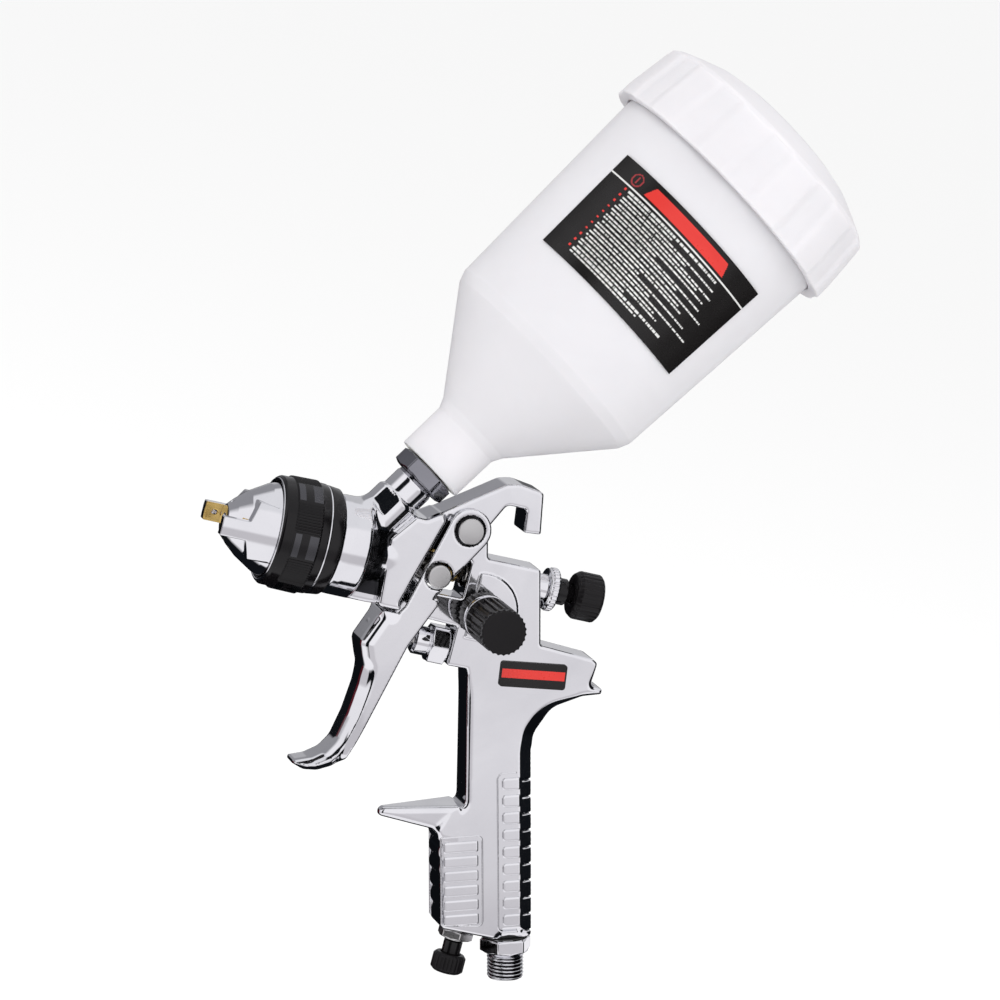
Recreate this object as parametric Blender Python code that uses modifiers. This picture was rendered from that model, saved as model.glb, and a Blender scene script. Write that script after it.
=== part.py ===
"""Gravity-feed HVLP spray gun, modelled as an assembly of separate parts.

All sizes below are millimetres in the gun frame: the nozzle axis is the X axis
(forward is -X), Z is up and the fan control is on the -Y side. The empty
"gun_frame" carries that frame, placed so that the world origin is the middle of
the hanging hook's inner top face.
"""
import math

import bmesh
import bpy
from mathutils import Matrix, Vector

MM = 0.001
MERGE = 0.00005

# Driving dimensions, millimetres
HOOK_SEAT = (4.0, 0.0, 27.2)        # middle of the hook's inner top face
BODY_HALF = 7.4                     # half thickness of the cast slab
SLAB_HALF = 9.3                     # half thickness of the front slab
GRIP_HALF = 8.4                     # half thickness of the grip
WEB_HALF = 5.0                      # half thickness of the web under the neck
HANDLE_LEAN = math.radians(15.2)    # handle against the plane across the nozzle
PIVOT = (-10.7, 15.7)               # trigger pivot, X and Z
CROSS_PIN = (-17.7, -2.4)           # pin that draws the needle, X and Z
CHEEK_IN = 7.8                      # inner and outer faces of the trigger cheeks
CHEEK_OUT = 9.6
VALVE_Z = -27.6                     # height of the air valve's axis
FAN_AXIS = (0.6, -12.3)             # fan control's axis, X and Z
CUP_FOOT_X = -50.0                  # where the cup axis meets the nozzle axis
CUP_LEAN = math.radians(33.5)
CUP_RADIUS = (42.3, 45.4)           # outer wall at the shoulder and at the mouth
CUP_SHOULDER, CUP_MOUTH = 97.0, 199.0
INLET_FOOT = (43.1, -126.0)         # air inlet's axis at the grip's end face, X and Z
ADJUST_FOOT = (24.9, -127.4)        # air adjusting valve's axis there
THREAD_RADIUS = 6.58                # G 1/4 male thread
GAP = 0.3                           # clearance between touching solids

# Colour, roughness and metallic value of each material
MATERIALS = {
    "chrome": ((0.82, 0.82, 0.84), 0.12, 1.0),
    "dark_chrome": ((0.30, 0.30, 0.32), 0.25, 1.0),
    "steel": ((0.60, 0.59, 0.57), 0.35, 1.0),
    "brass": ((0.66, 0.48, 0.16), 0.30, 1.0),
    "black_anodised": ((0.03, 0.03, 0.035), 0.35, 0.6),
    "black_plastic": ((0.02, 0.02, 0.02), 0.40, 0.0),
    "cup_plastic": ((0.88, 0.89, 0.90), 0.35, 0.0),
    "seal_rubber": ((0.05, 0.05, 0.05), 0.70, 0.0),
    "seal_ptfe": ((0.85, 0.85, 0.82), 0.50, 0.0),
    "label": ((0.08, 0.07, 0.07), 0.45, 0.0),
}


def clear_scene():
    """Removes everything that the file holds."""
    for thing in list(bpy.data.objects):
        bpy.data.objects.remove(thing, do_unlink=True)


def new_collection(name):
    """A collection linked into the scene."""
    group = bpy.data.collections.new(name)
    bpy.context.scene.collection.children.link(group)
    return group


def make_material(name):
    """One Principled material from the table above."""
    colour, roughness, metallic = MATERIALS[name]
    material = bpy.data.materials.new(name)
    material.use_nodes = True
    shader = material.node_tree.nodes["Principled BSDF"]
    shader.inputs["Base Color"].default_value = (*colour, 1.0)
    shader.inputs["Roughness"].default_value = roughness
    shader.inputs["Metallic"].default_value = metallic
    material.diffuse_color = (*colour, 1.0)
    return material


clear_scene()
PARTS = new_collection("hvlp_spray_gun")
CUTTERS = new_collection("cutters")
FRAME = bpy.data.objects.new("gun_frame", None)
FRAME.location = [-value * MM for value in HOOK_SEAT]
PARTS.objects.link(FRAME)
SURFACES = {}


# ---------------------------------------------------------------- directions

def turn_to(direction):
    """Rotation that takes the local Z axis to a direction."""
    return Vector(direction).to_track_quat("Z", "Y").to_matrix().to_4x4()


def placed(point, direction=(0, 0, 1)):
    """Matrix for a shape made about local Z, set at a point in the gun frame."""
    return Matrix.Translation(Vector(point) * MM) @ turn_to(direction)


FORWARD = (-1, 0, 0)
REAR = (1, 0, 0)
NEAR = (0, -1, 0)
CUP_UP = (math.sin(CUP_LEAN), 0, math.cos(CUP_LEAN))
GRIP_DOWN = (math.sin(HANDLE_LEAN), 0, -math.cos(HANDLE_LEAN))
CUP_FOOT = (CUP_FOOT_X, 0, 0)


# ---------------------------------------------------------------- shapes

def scratch(name, mesh):
    """An object for a shape that has no place in the assembly yet."""
    thing = bpy.data.objects.new(name, mesh)
    CUTTERS.objects.link(thing)
    thing.hide_render = True
    thing.display_type = "WIRE"
    return thing


def plate(name, outline, half, middle=0.0):
    """A flat outline in the XZ plane, as thick as twice half, about y = middle."""
    curve = bpy.data.curves.new(name, "CURVE")
    curve.dimensions = "2D"
    curve.fill_mode = "BOTH"
    curve.extrude = half * MM
    spline = curve.splines.new("POLY")
    spline.points.add(len(outline) - 1)
    for point, (x, z) in zip(spline.points, outline):
        point.co = (x * MM, z * MM, 0.0, 1.0)
    spline.use_cyclic_u = True
    guide = bpy.data.objects.new(name, curve)
    CUTTERS.objects.link(guide)
    upright = Matrix.Translation((0, middle * MM, 0)) @ Matrix.Rotation(math.pi / 2, 4, "X")
    guide.matrix_world = upright
    bpy.context.view_layer.update()
    seen = guide.evaluated_get(bpy.context.evaluated_depsgraph_get())
    mesh = bpy.data.meshes.new_from_object(seen)
    bpy.data.objects.remove(guide)
    shape = bmesh.new()
    shape.from_mesh(mesh)
    bmesh.ops.remove_doubles(shape, verts=shape.verts, dist=MERGE)
    bmesh.ops.transform(shape, matrix=upright, verts=shape.verts)
    bmesh.ops.recalc_face_normals(shape, faces=shape.faces)
    shape.to_mesh(mesh)
    shape.free()
    return scratch(name, mesh)


def turned(name, profile, place, sides=32, closed=True):
    """A turned shape. The profile holds (radius, height) pairs that run down the
    outer side; a closed one comes back up its bore, an open one ends on the axis."""
    mesh = bpy.data.meshes.new(name)
    points = [(radius * MM, 0.0, height * MM) for radius, height in profile]
    links = [(i, i + 1) for i in range(len(points) - 1)]
    if closed:
        links.append((len(points) - 1, 0))
    mesh.from_pydata(points, links, [])
    thing = scratch(name, mesh)
    thing.matrix_world = place
    screw = thing.modifiers.new("turn", "SCREW")
    screw.steps = sides
    screw.render_steps = sides
    screw.use_merge_vertices = True
    screw.merge_threshold = MERGE
    screw.use_smooth_shade = True
    return thing


def rod(name, radius, low, high, place, sides=24):
    """A plain round bar from one height to another along its axis."""
    shape = bmesh.new()
    bmesh.ops.create_cone(
        shape, cap_ends=True, segments=sides, radius1=radius * MM, radius2=radius * MM,
        depth=(high - low) * MM)
    bmesh.ops.translate(shape, vec=(0, 0, (low + high) / 2 * MM), verts=shape.verts)
    mesh = bpy.data.meshes.new(name)
    shape.to_mesh(mesh)
    shape.free()
    thing = scratch(name, mesh)
    thing.matrix_world = place
    return thing


def hexagon(name, flats, low, high, place, turn=0.0):
    """A hexagonal bar, measured across its flats, turned about its own axis."""
    thing = rod(name, flats / math.sqrt(3), low, high, place, sides=6)
    thing.matrix_world = place @ Matrix.Rotation(turn, 4, "Z")
    return thing


def box(name, low, high):
    """A box between two corners in the gun frame."""
    shape = bmesh.new()
    bmesh.ops.create_cube(shape, size=1.0)
    size = [(b - a) * MM for a, b in zip(low, high)]
    centre = [(a + b) / 2 * MM for a, b in zip(low, high)]
    bmesh.ops.scale(shape, vec=size, verts=shape.verts)
    bmesh.ops.translate(shape, vec=centre, verts=shape.verts)
    mesh = bpy.data.meshes.new(name)
    shape.to_mesh(mesh)
    shape.free()
    return scratch(name, mesh)


def arc(centre, radius, start, end, steps):
    """Points on an arc in the XZ plane, angles in degrees from +X towards +Z."""
    points = []
    for i in range(steps + 1):
        angle = math.radians(start + (end - start) * i / steps)
        points.append((centre[0] + radius * math.cos(angle), centre[1] + radius * math.sin(angle)))
    return points


def combine(thing, others, operation):
    """Adds exact Boolean modifiers to a shape, one for each other shape."""
    for other in others:
        step = thing.modifiers.new(operation.lower() + "_" + other.name, "BOOLEAN")
        step.operation = operation
        step.solver = "EXACT"
        step.object = other
    return thing


def join(thing, *others):
    return combine(thing, others, "UNION")


def cut(thing, *others):
    return combine(thing, others, "DIFFERENCE")


def part(name, thing, material, origin=None):
    """Makes a shape a part of the assembly: its name, material and origin.
    A turned shape or a rod already has its origin on its own axis."""
    CUTTERS.objects.unlink(thing)
    PARTS.objects.link(thing)
    thing.name = name
    thing.data.name = name
    thing.hide_render = False
    thing.display_type = "TEXTURED"
    if material not in SURFACES:
        SURFACES[material] = make_material(material)
    thing.data.materials.append(SURFACES[material])
    if origin is not None:
        shift = Matrix.Translation(Vector(origin) * MM)
        thing.data.transform(shift.inverted() @ thing.matrix_world)
        thing.matrix_world = shift
    thing.parent = FRAME
    return thing


def settle_cutters():
    """Hangs every cutter on the gun frame, so that it moves with the parts."""
    for thing in CUTTERS.objects:
        thing.parent = FRAME


# ---------------------------------------------------------------- gun body

def block_outline():
    """Hook, bridge, rear block, tang, handle and grip in one side outline."""
    hook = [(-34.0, 8.0), (-30.9, 16.4), (-27.0, 16.0), (-0.9, 34.4)]
    hook += arc((3.6, 30.4), 5.0, 122, 78, 4)
    hook += [(11.6, 35.1), (13.0, 34.0), (15.8, 19.4), (9.4, 18.8), (8.3, 25.3)]
    hook += arc((6.6, 25.5), 1.7, 0, 90, 3)
    hook += [(1.0, 27.2), (-3.5, 18.3), (-2.6, 13.4), (-0.9, 7.5), (0.4, 6.8)]
    rear = [(19.1, 7.1), (26.2, -19.4), (46.6, -20.4), (48.6, -21.4), (48.4, -29.8)]
    rear += [(53.0, -30.5), (53.3, -32.2), (46.5, -34.5), (41.2, -37.2), (36.8, -41.0)]
    rear += [(33.8, -45.6), (32.6, -51.0), (33.0, -57.5), (50.8, -123.9), (38.6, -127.2)]
    front = [(16.8, -127.2), (15.4, -125.8), (6.4, -92.6), (2.5, -92.4), (2.5, -85.4)]
    front += [(12.6, -81.9), (14.2, -80.0), (14.2, -77.5), (2.5, -35.0), (1.0, -33.4)]
    valve = [(-5.8, -33.6), (-5.8, -19.0), (-19.6, -18.4), (-19.6, -8.8), (-6.6, -8.8)]
    window = [(-6.6, 4.2), (-8.4, 6.0), (-24.6, 6.0), (-28.0, -4.0), (-34.0, -4.0)]
    return hook + rear + front + valve + window


def grip_outline():
    """The grip below the spur, where the casting is thickest."""
    return [(6.4, -93.4), (42.7, -93.4), (50.8, -123.9), (38.6, -127.2), (16.8, -127.2),
            (15.4, -125.8)]


def slab_outline():
    """The front slab between the barrel and the trigger's cheeks."""
    return [(-38.3, 7.0), (-30.9, 16.5), (-27.0, 16.2), (-22.0, 18.8), (-20.4, 16.6),
            (-29.4, -14.6), (-28.2, -17.4), (-36.4, -17.4)]


def web_outline():
    """The web under the barrel's neck, level with the barrel and the slab."""
    return [(-56.0, -17.4), (-56.0, -12.0), (-36.4, -12.0), (-36.4, -17.4), (-40.0, -17.6)]


def spur():
    """Finger spur: a tongue that tapers in height and in thickness to its tip."""
    root, tip = 6.0, -15.2
    tongue = box("spur", (tip, -1.0, -0.5), (root, 1.0, 0.5))
    for vertex in tongue.data.vertices:
        ahead = vertex.co.x < (root + tip) / 2 * MM
        low, high = (-92.4, -89.3) if ahead else (-92.6, -83.6)
        vertex.co.z = (high if vertex.co.z > 0 else low) * MM
        vertex.co.y = math.copysign((2.2 if ahead else BODY_HALF - 0.2) * MM, vertex.co.y)
    return tongue


def body_hollows():
    """Bores, chambers and clearances inside the casting."""
    origin = (0, 0, 0)
    ahead = placed(origin, FORWARD)
    valve = placed((0, 0, VALVE_Z), FORWARD)
    fan = placed((FAN_AXIS[0], 0, FAN_AXIS[1]), NEAR)
    cup = placed(CUP_FOOT, CUP_UP)
    inlet = placed((INLET_FOOT[0], 0, INLET_FOOT[1]), GRIP_DOWN)
    adjust = placed((ADJUST_FOOT[0], 0, ADJUST_FOOT[1]), (0, 0, -1))
    pivot = placed((PIVOT[0], 0, PIVOT[1]), NEAR)
    return [
        rod("head_chamber", 13.0, 54.0, 70.0, ahead),
        rod("fluid_bore", 5.6, 40.0, 56.0, ahead, 20),
        rod("needle_bore", 2.6, 27.0, 42.0, ahead, 12),
        rod("packing_bore", 4.4, 27.0, 36.0, ahead, 20),
        rod("packing_mouth", 5.2, 20.0, 28.7, ahead, 20),
        rod("cup_bore", 4.4, 2.0, 24.0, cup, 16),
        rod("cup_thread", 6.7, 19.0, 34.0, cup),
        rod("spring_bore", 5.2, -25.0, 7.0, ahead, 20),
        rod("valve_chamber", 4.6, -24.0, 6.2, valve, 20),
        rod("fan_chamber", 4.7, -5.4, 9.0, fan, 20),
        rod("riser", 2.0, 0.0, 15.3, placed((FAN_AXIS[0], 0, VALVE_Z), (0, 0, 1)), 12),
        rod("inlet_bore", 6.0, -12.0, 1.5, inlet),
        rod("handle_gallery", 3.6, -101.0, -10.0, inlet, 16),
        rod("adjust_bore", 3.6, -16.0, 1.0, adjust, 16),
        rod("pivot_bore", 3.2, -9.0, 9.0, pivot),
    ]


def make_body():
    """The casting, as one solid with its bores."""
    barrel = turned("barrel", [
        (0, 67.4), (15.4, 67.4), (15.4, 57.4), (17.4, 57.2), (17.7, 54.0), (17.7, 47.0),
        (15.6, 45.6), (13.2, 43.2), (12.4, 40.0), (12.4, 37.0), (0, 37.0)],
        placed((0, 0, 0), FORWARD), closed=False)
    boss = turned("boss", [
        (0, 32.8), (7.2, 32.8), (7.7, 32.2), (7.7, 25.4), (8.3, 24.8), (8.6, 10.0), (0, 10.0)],
        placed(CUP_FOOT, CUP_UP), 24, closed=False)
    knob_boss = rod("knob_boss", 7.0, 12.0, 23.9, placed((0, 0, 0), REAR))
    body = plate("body", block_outline(), BODY_HALF)
    join(body, plate("grip", grip_outline(), GRIP_HALF), plate("slab", slab_outline(), SLAB_HALF),
         plate("web", web_outline(), WEB_HALF), spur(), barrel, boss, knob_boss)
    cut(body, *body_hollows())
    return part("gun_body", body, "chrome")


# ---------------------------------------------------------------- spray head

def make_head():
    """Air cap, ring, snap ring, fluid nozzle and baffle, all on the nozzle axis."""
    ahead = placed((0, 0, 0), FORWARD)
    cap = turned("cap", [
        (2.3, 96.4), (5.6, 96.4), (8.6, 93.4), (15.2, 83.0), (16.8, 80.2), (16.8, 77.6),
        (18.2, 77.4), (18.2, 73.0), (13.8, 73.0), (13.4, 79.0), (6.0, 89.6), (4.4, 93.2),
        (2.3, 93.2)], ahead)
    horns = plate("horns", [
        (-100.6, 3.4), (-91.0, 3.4), (-88.2, 10.4), (-78.5, 9.6), (-78.5, -9.6),
        (-88.2, -10.4), (-91.0, -3.4), (-100.6, -3.4)], 19.0)
    shell = turned("horn_shell", [
        (16.4, 101.5), (16.8, 78.0), (12.2, 78.0), (12.6, 101.5)], ahead)
    combine(horns, [shell], "INTERSECT")
    join(cap, horns)
    for side in (-1, 1):
        jet = placed((-96.8, side * 12.6, 0), (-0.8, side, 0))
        cut(cap, rod("horn_jet", 0.9, -2.5, 2.0, jet, 10))
    part("air_cap", cap, "chrome")

    ring = turned("ring", [
        (17.2, 80.0), (18.6, 80.0), (19.5, 79.0), (19.6, 75.6), (20.3, 75.2), (20.5, 66.4),
        (19.7, 65.8), (19.6, 62.9), (19.0, 62.6), (18.8, 57.8), (15.8, 57.8), (15.8, 68.6),
        (18.6, 68.6), (18.6, 77.8), (17.2, 77.8)], ahead)
    part("air_cap_ring", ring, "black_anodised")

    snap = turned("snap", [(18.3, 72.4), (18.3, 71.4), (16.6, 71.4), (16.6, 72.4)], ahead, 24)
    part("cap_snap_ring", snap, "steel")

    nozzle = turned("nozzle", [
        (1.3, 96.0), (1.8, 96.0), (1.9, 92.8), (3.4, 89.6), (6.0, 82.6), (8.6, 78.4), (8.6, 72.0),
        (5.2, 71.6), (5.2, 54.6), (3.0, 54.6), (3.0, 84.0), (1.3, 92.0)], ahead, 20)
    part("fluid_nozzle", nozzle, "steel")

    baffle = turned("baffle", [
        (14.9, 69.8), (14.9, 67.8), (5.6, 67.8), (5.6, 69.8)], ahead, 24)
    part("air_baffle", baffle, "brass")


# ---------------------------------------------------------------- fluid needle

def coil(name, radius, wire, start, end, turns, place):
    """A helical spring along the placed axis, as one tube with filled caps."""
    steps_per_turn = 8
    count = turns * steps_per_turn
    curve = bpy.data.curves.new(name, "CURVE")
    curve.dimensions = "3D"
    curve.bevel_depth = wire * MM
    curve.bevel_resolution = 0
    curve.use_fill_caps = True
    spline = curve.splines.new("POLY")
    spline.points.add(count)
    for i, point in enumerate(spline.points):
        angle = 2 * math.pi * i / steps_per_turn
        height = start + (end - start) * i / count
        point.co = (radius * math.cos(angle) * MM, radius * math.sin(angle) * MM, height * MM, 1.0)
    guide = bpy.data.objects.new(name, curve)
    CUTTERS.objects.link(guide)
    bpy.context.view_layer.update()
    seen = guide.evaluated_get(bpy.context.evaluated_depsgraph_get())
    mesh = bpy.data.meshes.new_from_object(seen)
    bpy.data.objects.remove(guide)
    shape = bmesh.new()
    shape.from_mesh(mesh)
    bmesh.ops.remove_doubles(shape, verts=shape.verts, dist=MERGE)
    bmesh.ops.recalc_face_normals(shape, faces=shape.faces)
    shape.to_mesh(mesh)
    shape.free()
    thing = scratch(name, mesh)
    thing.matrix_world = place
    return thing


def make_needle():
    """Fluid needle with its collar, packing, spring and adjusting screw."""
    ahead = placed((0, 0, 0), FORWARD)
    aft = placed((0, 0, 0), REAR)
    needle = turned("needle", [
        (0, 95.8), (0.5, 95.6), (1.0, 94.4), (1.0, 89.0), (2.0, 81.0), (2.0, -15.6), (1.6, -16.0),
        (0, -16.0)], ahead, 16, closed=False)
    part("fluid_needle", needle, "steel")
    collar = turned("collar", [
        (4.3, 13.0), (4.7, 12.6), (4.7, 9.6), (4.3, 9.2), (2.2, 9.2), (2.2, 13.0)], ahead, 24)
    part("needle_collar", collar, "brass")
    seal = turned("seal", [(4.1, 35.6), (4.1, 33.4), (2.3, 33.4), (2.3, 35.6)], ahead, 20)
    part("needle_packing_seal", seal, "seal_ptfe")
    nut = turned("packing_nut", [
        (4.1, 33.0), (4.1, 28.0), (3.4, 27.6), (3.4, 23.8), (2.3, 23.8), (2.3, 33.0)], ahead, 20)
    head = hexagon("packing_hex", 8.0, 24.4, 28.4, ahead)
    cut(head, rod("packing_way", 2.8, 20.0, 30.0, ahead, 20))
    part("needle_packing_nut", join(nut, head), "steel")
    part("needle_spring", coil("coil", 3.7, 0.42, -8.2, 8.4, 7, ahead), "steel")

    bush = turned("bush", [
        (3.0, 28.0), (7.3, 28.0), (7.9, 27.4), (7.9, 24.6), (7.5, 24.2), (4.9, 24.2), (4.9, 13.6),
        (3.0, 13.6)], aft, 24)
    part("fluid_control_bush", bush, "chrome")
    spindle = turned("spindle", [
        (0, 41.0), (3.2, 41.0), (3.2, 32.4), (4.8, 32.0), (4.8, 28.4), (2.6, 28.4), (2.6, 22.2),
        (0, 22.2)], aft, 20, closed=False)
    part("fluid_knob_spindle", spindle, "black_anodised")
    knob = turned("knob", [
        (0, 44.8), (8.0, 44.8), (8.7, 44.0), (8.7, 36.4), (7.6, 34.6), (3.6, 34.6), (3.6, 41.4),
        (0, 41.4)], aft, 24, closed=False)
    part("fluid_knob", knob, "black_plastic")


# ---------------------------------------------------------------- trigger

def trigger_outline():
    """Cheeks, pad and finger blade seen from the side."""
    rear = [(-14.1, -6.9), (-17.0, -16.9), (-22.3, -29.4), (-31.6, -67.0), (-33.4, -73.6)]
    tip = [(-37.0, -77.6), (-42.0, -80.2), (-47.0, -80.9), (-50.4, -79.8), (-51.6, -78.2)]
    blade = [(-46.0, -76.0), (-41.4, -72.6), (-38.6, -68.0), (-36.6, -58.0), (-35.6, -47.0),
             (-35.8, -40.0), (-38.8, -32.4), (-38.8, -30.8), (-34.3, -19.6), (-33.2, -18.4)]
    head = [(-28.6, -18.4), (-27.0, -15.8), (-19.0, 12.2)]
    return arc(PIVOT, 7.8, 160, -32, 10) + rear + tip + blade + head


def trigger_channel():
    """The space between the cheeks, behind the front wall."""
    return [(12.0, 30.0), (-32.0, 30.0), (-30.0, -10.0), (-30.6, -19.0), (-35.0, -30.6),
            (-32.8, -38.6), (-32.2, -47.0), (-33.0, -58.0), (-34.4, -66.0), (-32.0, -72.0),
            (-20.0, -72.0), (12.0, 0.0)]


def make_trigger():
    """Trigger casting, its pivot and the pin that draws the needle."""
    pivot = placed((PIVOT[0], 0, PIVOT[1]), NEAR)
    cross = placed((CROSS_PIN[0], 0, CROSS_PIN[1]), NEAR)
    lever = plate("lever", trigger_outline(), CHEEK_OUT)
    cut(lever, plate("channel", trigger_channel(), CHEEK_IN))
    join(lever, rod("striker", 3.4, 32.6, 35.6, placed((0, 0, VALVE_Z), FORWARD), 16))
    cut(lever, rod("pivot_hole_near", 5.0, 0.0, 12.0, pivot),
        rod("pivot_hole_far", 3.2, -12.0, 0.0, pivot), rod("cross_hole", 4.5, -12.0, 12.0, cross))
    part("trigger", lever, "chrome", origin=(PIVOT[0], 0, PIVOT[1]))

    pin = turned("pin", [
        (0, 10.4), (4.4, 10.4), (4.7, 10.1), (4.7, 7.9), (2.9, 7.9), (2.9, -9.9), (2.1, -9.9),
        (2.1, -10.9), (2.9, -10.9), (2.9, -11.8), (0, -11.8)], pivot, 24, closed=False)
    part("trigger_pivot_pin", pin, "steel")
    clip = turned("clip", [(4.8, -10.1), (4.8, -10.7), (2.4, -10.7), (2.4, -10.1)], pivot, 20)
    cut(clip, rod("clip_mouth", 1.9, -12.0, -9.0, placed((PIVOT[0] + 4.0, 0, PIVOT[1]), NEAR), 12))
    part("trigger_pivot_clip", clip, "steel")

    drum = turned("drum", [
        (0, 10.2), (3.9, 10.2), (4.2, 9.9), (4.2, -9.9), (3.0, -9.9), (3.0, -10.9), (4.2, -10.9),
        (4.2, -11.6), (0, -11.6)], cross, 24, closed=False)
    saddle = box("saddle", (CROSS_PIN[0] - 6, -2.6, -2.7), (CROSS_PIN[0] + 6, 2.6, 6.0))
    part("trigger_cross_pin", cut(drum, saddle), "steel")
    clip = turned("clip", [(5.6, -10.1), (5.6, -10.7), (3.3, -10.7), (3.3, -10.1)], cross, 20)
    cut(clip, rod("clip_mouth", 2.6, -12.0, -9.0,
                  placed((CROSS_PIN[0] - 4.6, 0, CROSS_PIN[1]), NEAR), 12))
    part("cross_pin_clip", clip, "steel")


# ---------------------------------------------------------------- air controls

def make_air_valve():
    """Air valve below the needle, opened by the trigger."""
    valve = placed((0, 0, VALVE_Z), FORWARD)
    nut = turned("valve_nut", [
        (4.6, 18.8), (5.2, 18.2), (5.2, 7.0), (4.3, 6.8), (4.3, -1.5), (2.1, -1.5), (2.1, 18.8)],
        valve, 24)
    hexes = hexagon("valve_hex", 13.0, 6.2, 12.8, valve, math.pi / 6)
    cut(hexes, rod("valve_way", 3.4, 0.0, 20.0, valve))
    part("air_valve_nut", join(nut, hexes), "dark_chrome")
    stem = turned("stem", [
        (0, 32.2), (1.3, 31.9), (1.7, 31.2), (1.7, -2.4), (3.9, -2.4), (3.9, -5.4), (0, -5.4)],
        valve, 16, closed=False)
    part("air_valve_stem", stem, "steel")
    part("air_valve_spring", coil("coil", 3.0, 0.4, -12.0, -6.2, 4, valve), "steel")
    seal = turned("valve_seal", [(4.3, -1.8), (4.3, -2.1), (2.1, -2.1), (2.1, -1.8)], valve, 20)
    part("air_valve_seal", seal, "seal_rubber")


def make_fan_control():
    """Fan control on the near side of the body."""
    out = placed((FAN_AXIS[0], 0, FAN_AXIS[1]), NEAR)
    bush = turned("bush", [
        (3.0, 17.2), (7.8, 17.2), (8.4, 16.6), (8.4, 10.4), (6.0, 10.0), (6.0, 7.8), (4.4, 7.7),
        (4.4, 1.0), (3.0, 1.0)], out, 24)
    part("fan_valve_bush", bush, "black_anodised")
    clip = turned("washer", [(7.9, 19.8), (7.9, 17.5), (3.0, 17.5), (3.0, 19.8)], out, 24)
    part("fan_valve_ring", clip, "chrome")
    spindle = turned("spindle", [
        (0, 37.0), (2.6, 37.0), (2.6, -2.2), (3.8, -2.6), (3.8, -4.8), (0, -4.8)], out, 20,
        closed=False)
    part("fan_valve_spindle", spindle, "steel")
    knob = turned("knob", [
        (0, 42.0), (7.9, 42.0), (8.3, 41.4), (8.3, 20.6), (7.8, 20.1), (3.0, 20.1), (3.0, 37.4),
        (0, 37.4)], out, 24, closed=False)
    part("fan_knob", knob, "black_plastic")


def make_handle_fittings():
    """Air inlet nipple and air adjusting valve under the grip."""
    inlet = placed((INLET_FOOT[0], 0, INLET_FOOT[1]), GRIP_DOWN)
    nipple = turned("nipple", [
        (6.0, 16.0), (THREAD_RADIUS, 15.4), (THREAD_RADIUS, 7.4), (5.6, 6.6), (5.6, -9.0),
        (4.0, -9.0), (4.0, 16.0)], inlet, 24)
    nut = hexagon("nipple_hex", 16.4, 0.9, 6.0, inlet)
    cut(nut, rod("nipple_way", 4.8, -3.0, 9.0, inlet, 24))
    part("air_inlet_connector", join(nipple, nut), "steel")
    washer = turned("washer", [(8.0, 0.6), (8.0, 0.3), (6.0, 0.3), (6.0, 0.6)], inlet, 24)
    part("air_inlet_washer", washer, "seal_rubber")

    adjust = placed((ADJUST_FOOT[0], 0, ADJUST_FOOT[1]), (0, 0, -1))
    nut = turned("gland", [
        (4.2, 4.0), (4.2, 0.8), (3.3, 0.6), (3.3, -9.0), (2.2, -9.0), (2.2, 4.0)], adjust, 24)
    hexes = hexagon("gland_hex", 11.4, 0.4, 3.4, adjust)
    cut(hexes, rod("gland_way", 2.7, -2.0, 6.0, adjust))
    part("air_adjust_nut", join(nut, hexes), "steel")
    spindle = turned("spindle", [
        (0, 14.0), (3.4, 14.0), (3.4, 4.6), (1.9, 4.4), (1.9, -13.0), (0, -14.6)],
        adjust, 20, closed=False)
    part("air_adjust_spindle", spindle, "black_anodised")
    knob = turned("knob", [
        (0, 16.4), (5.0, 16.4), (6.0, 15.6), (6.0, 10.2), (5.2, 9.2), (3.8, 9.2), (3.8, 14.4),
        (0, 14.4)], adjust, 28, closed=False)
    part("air_adjust_knob", knob, "black_plastic")


# ---------------------------------------------------------------- cup

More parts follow.
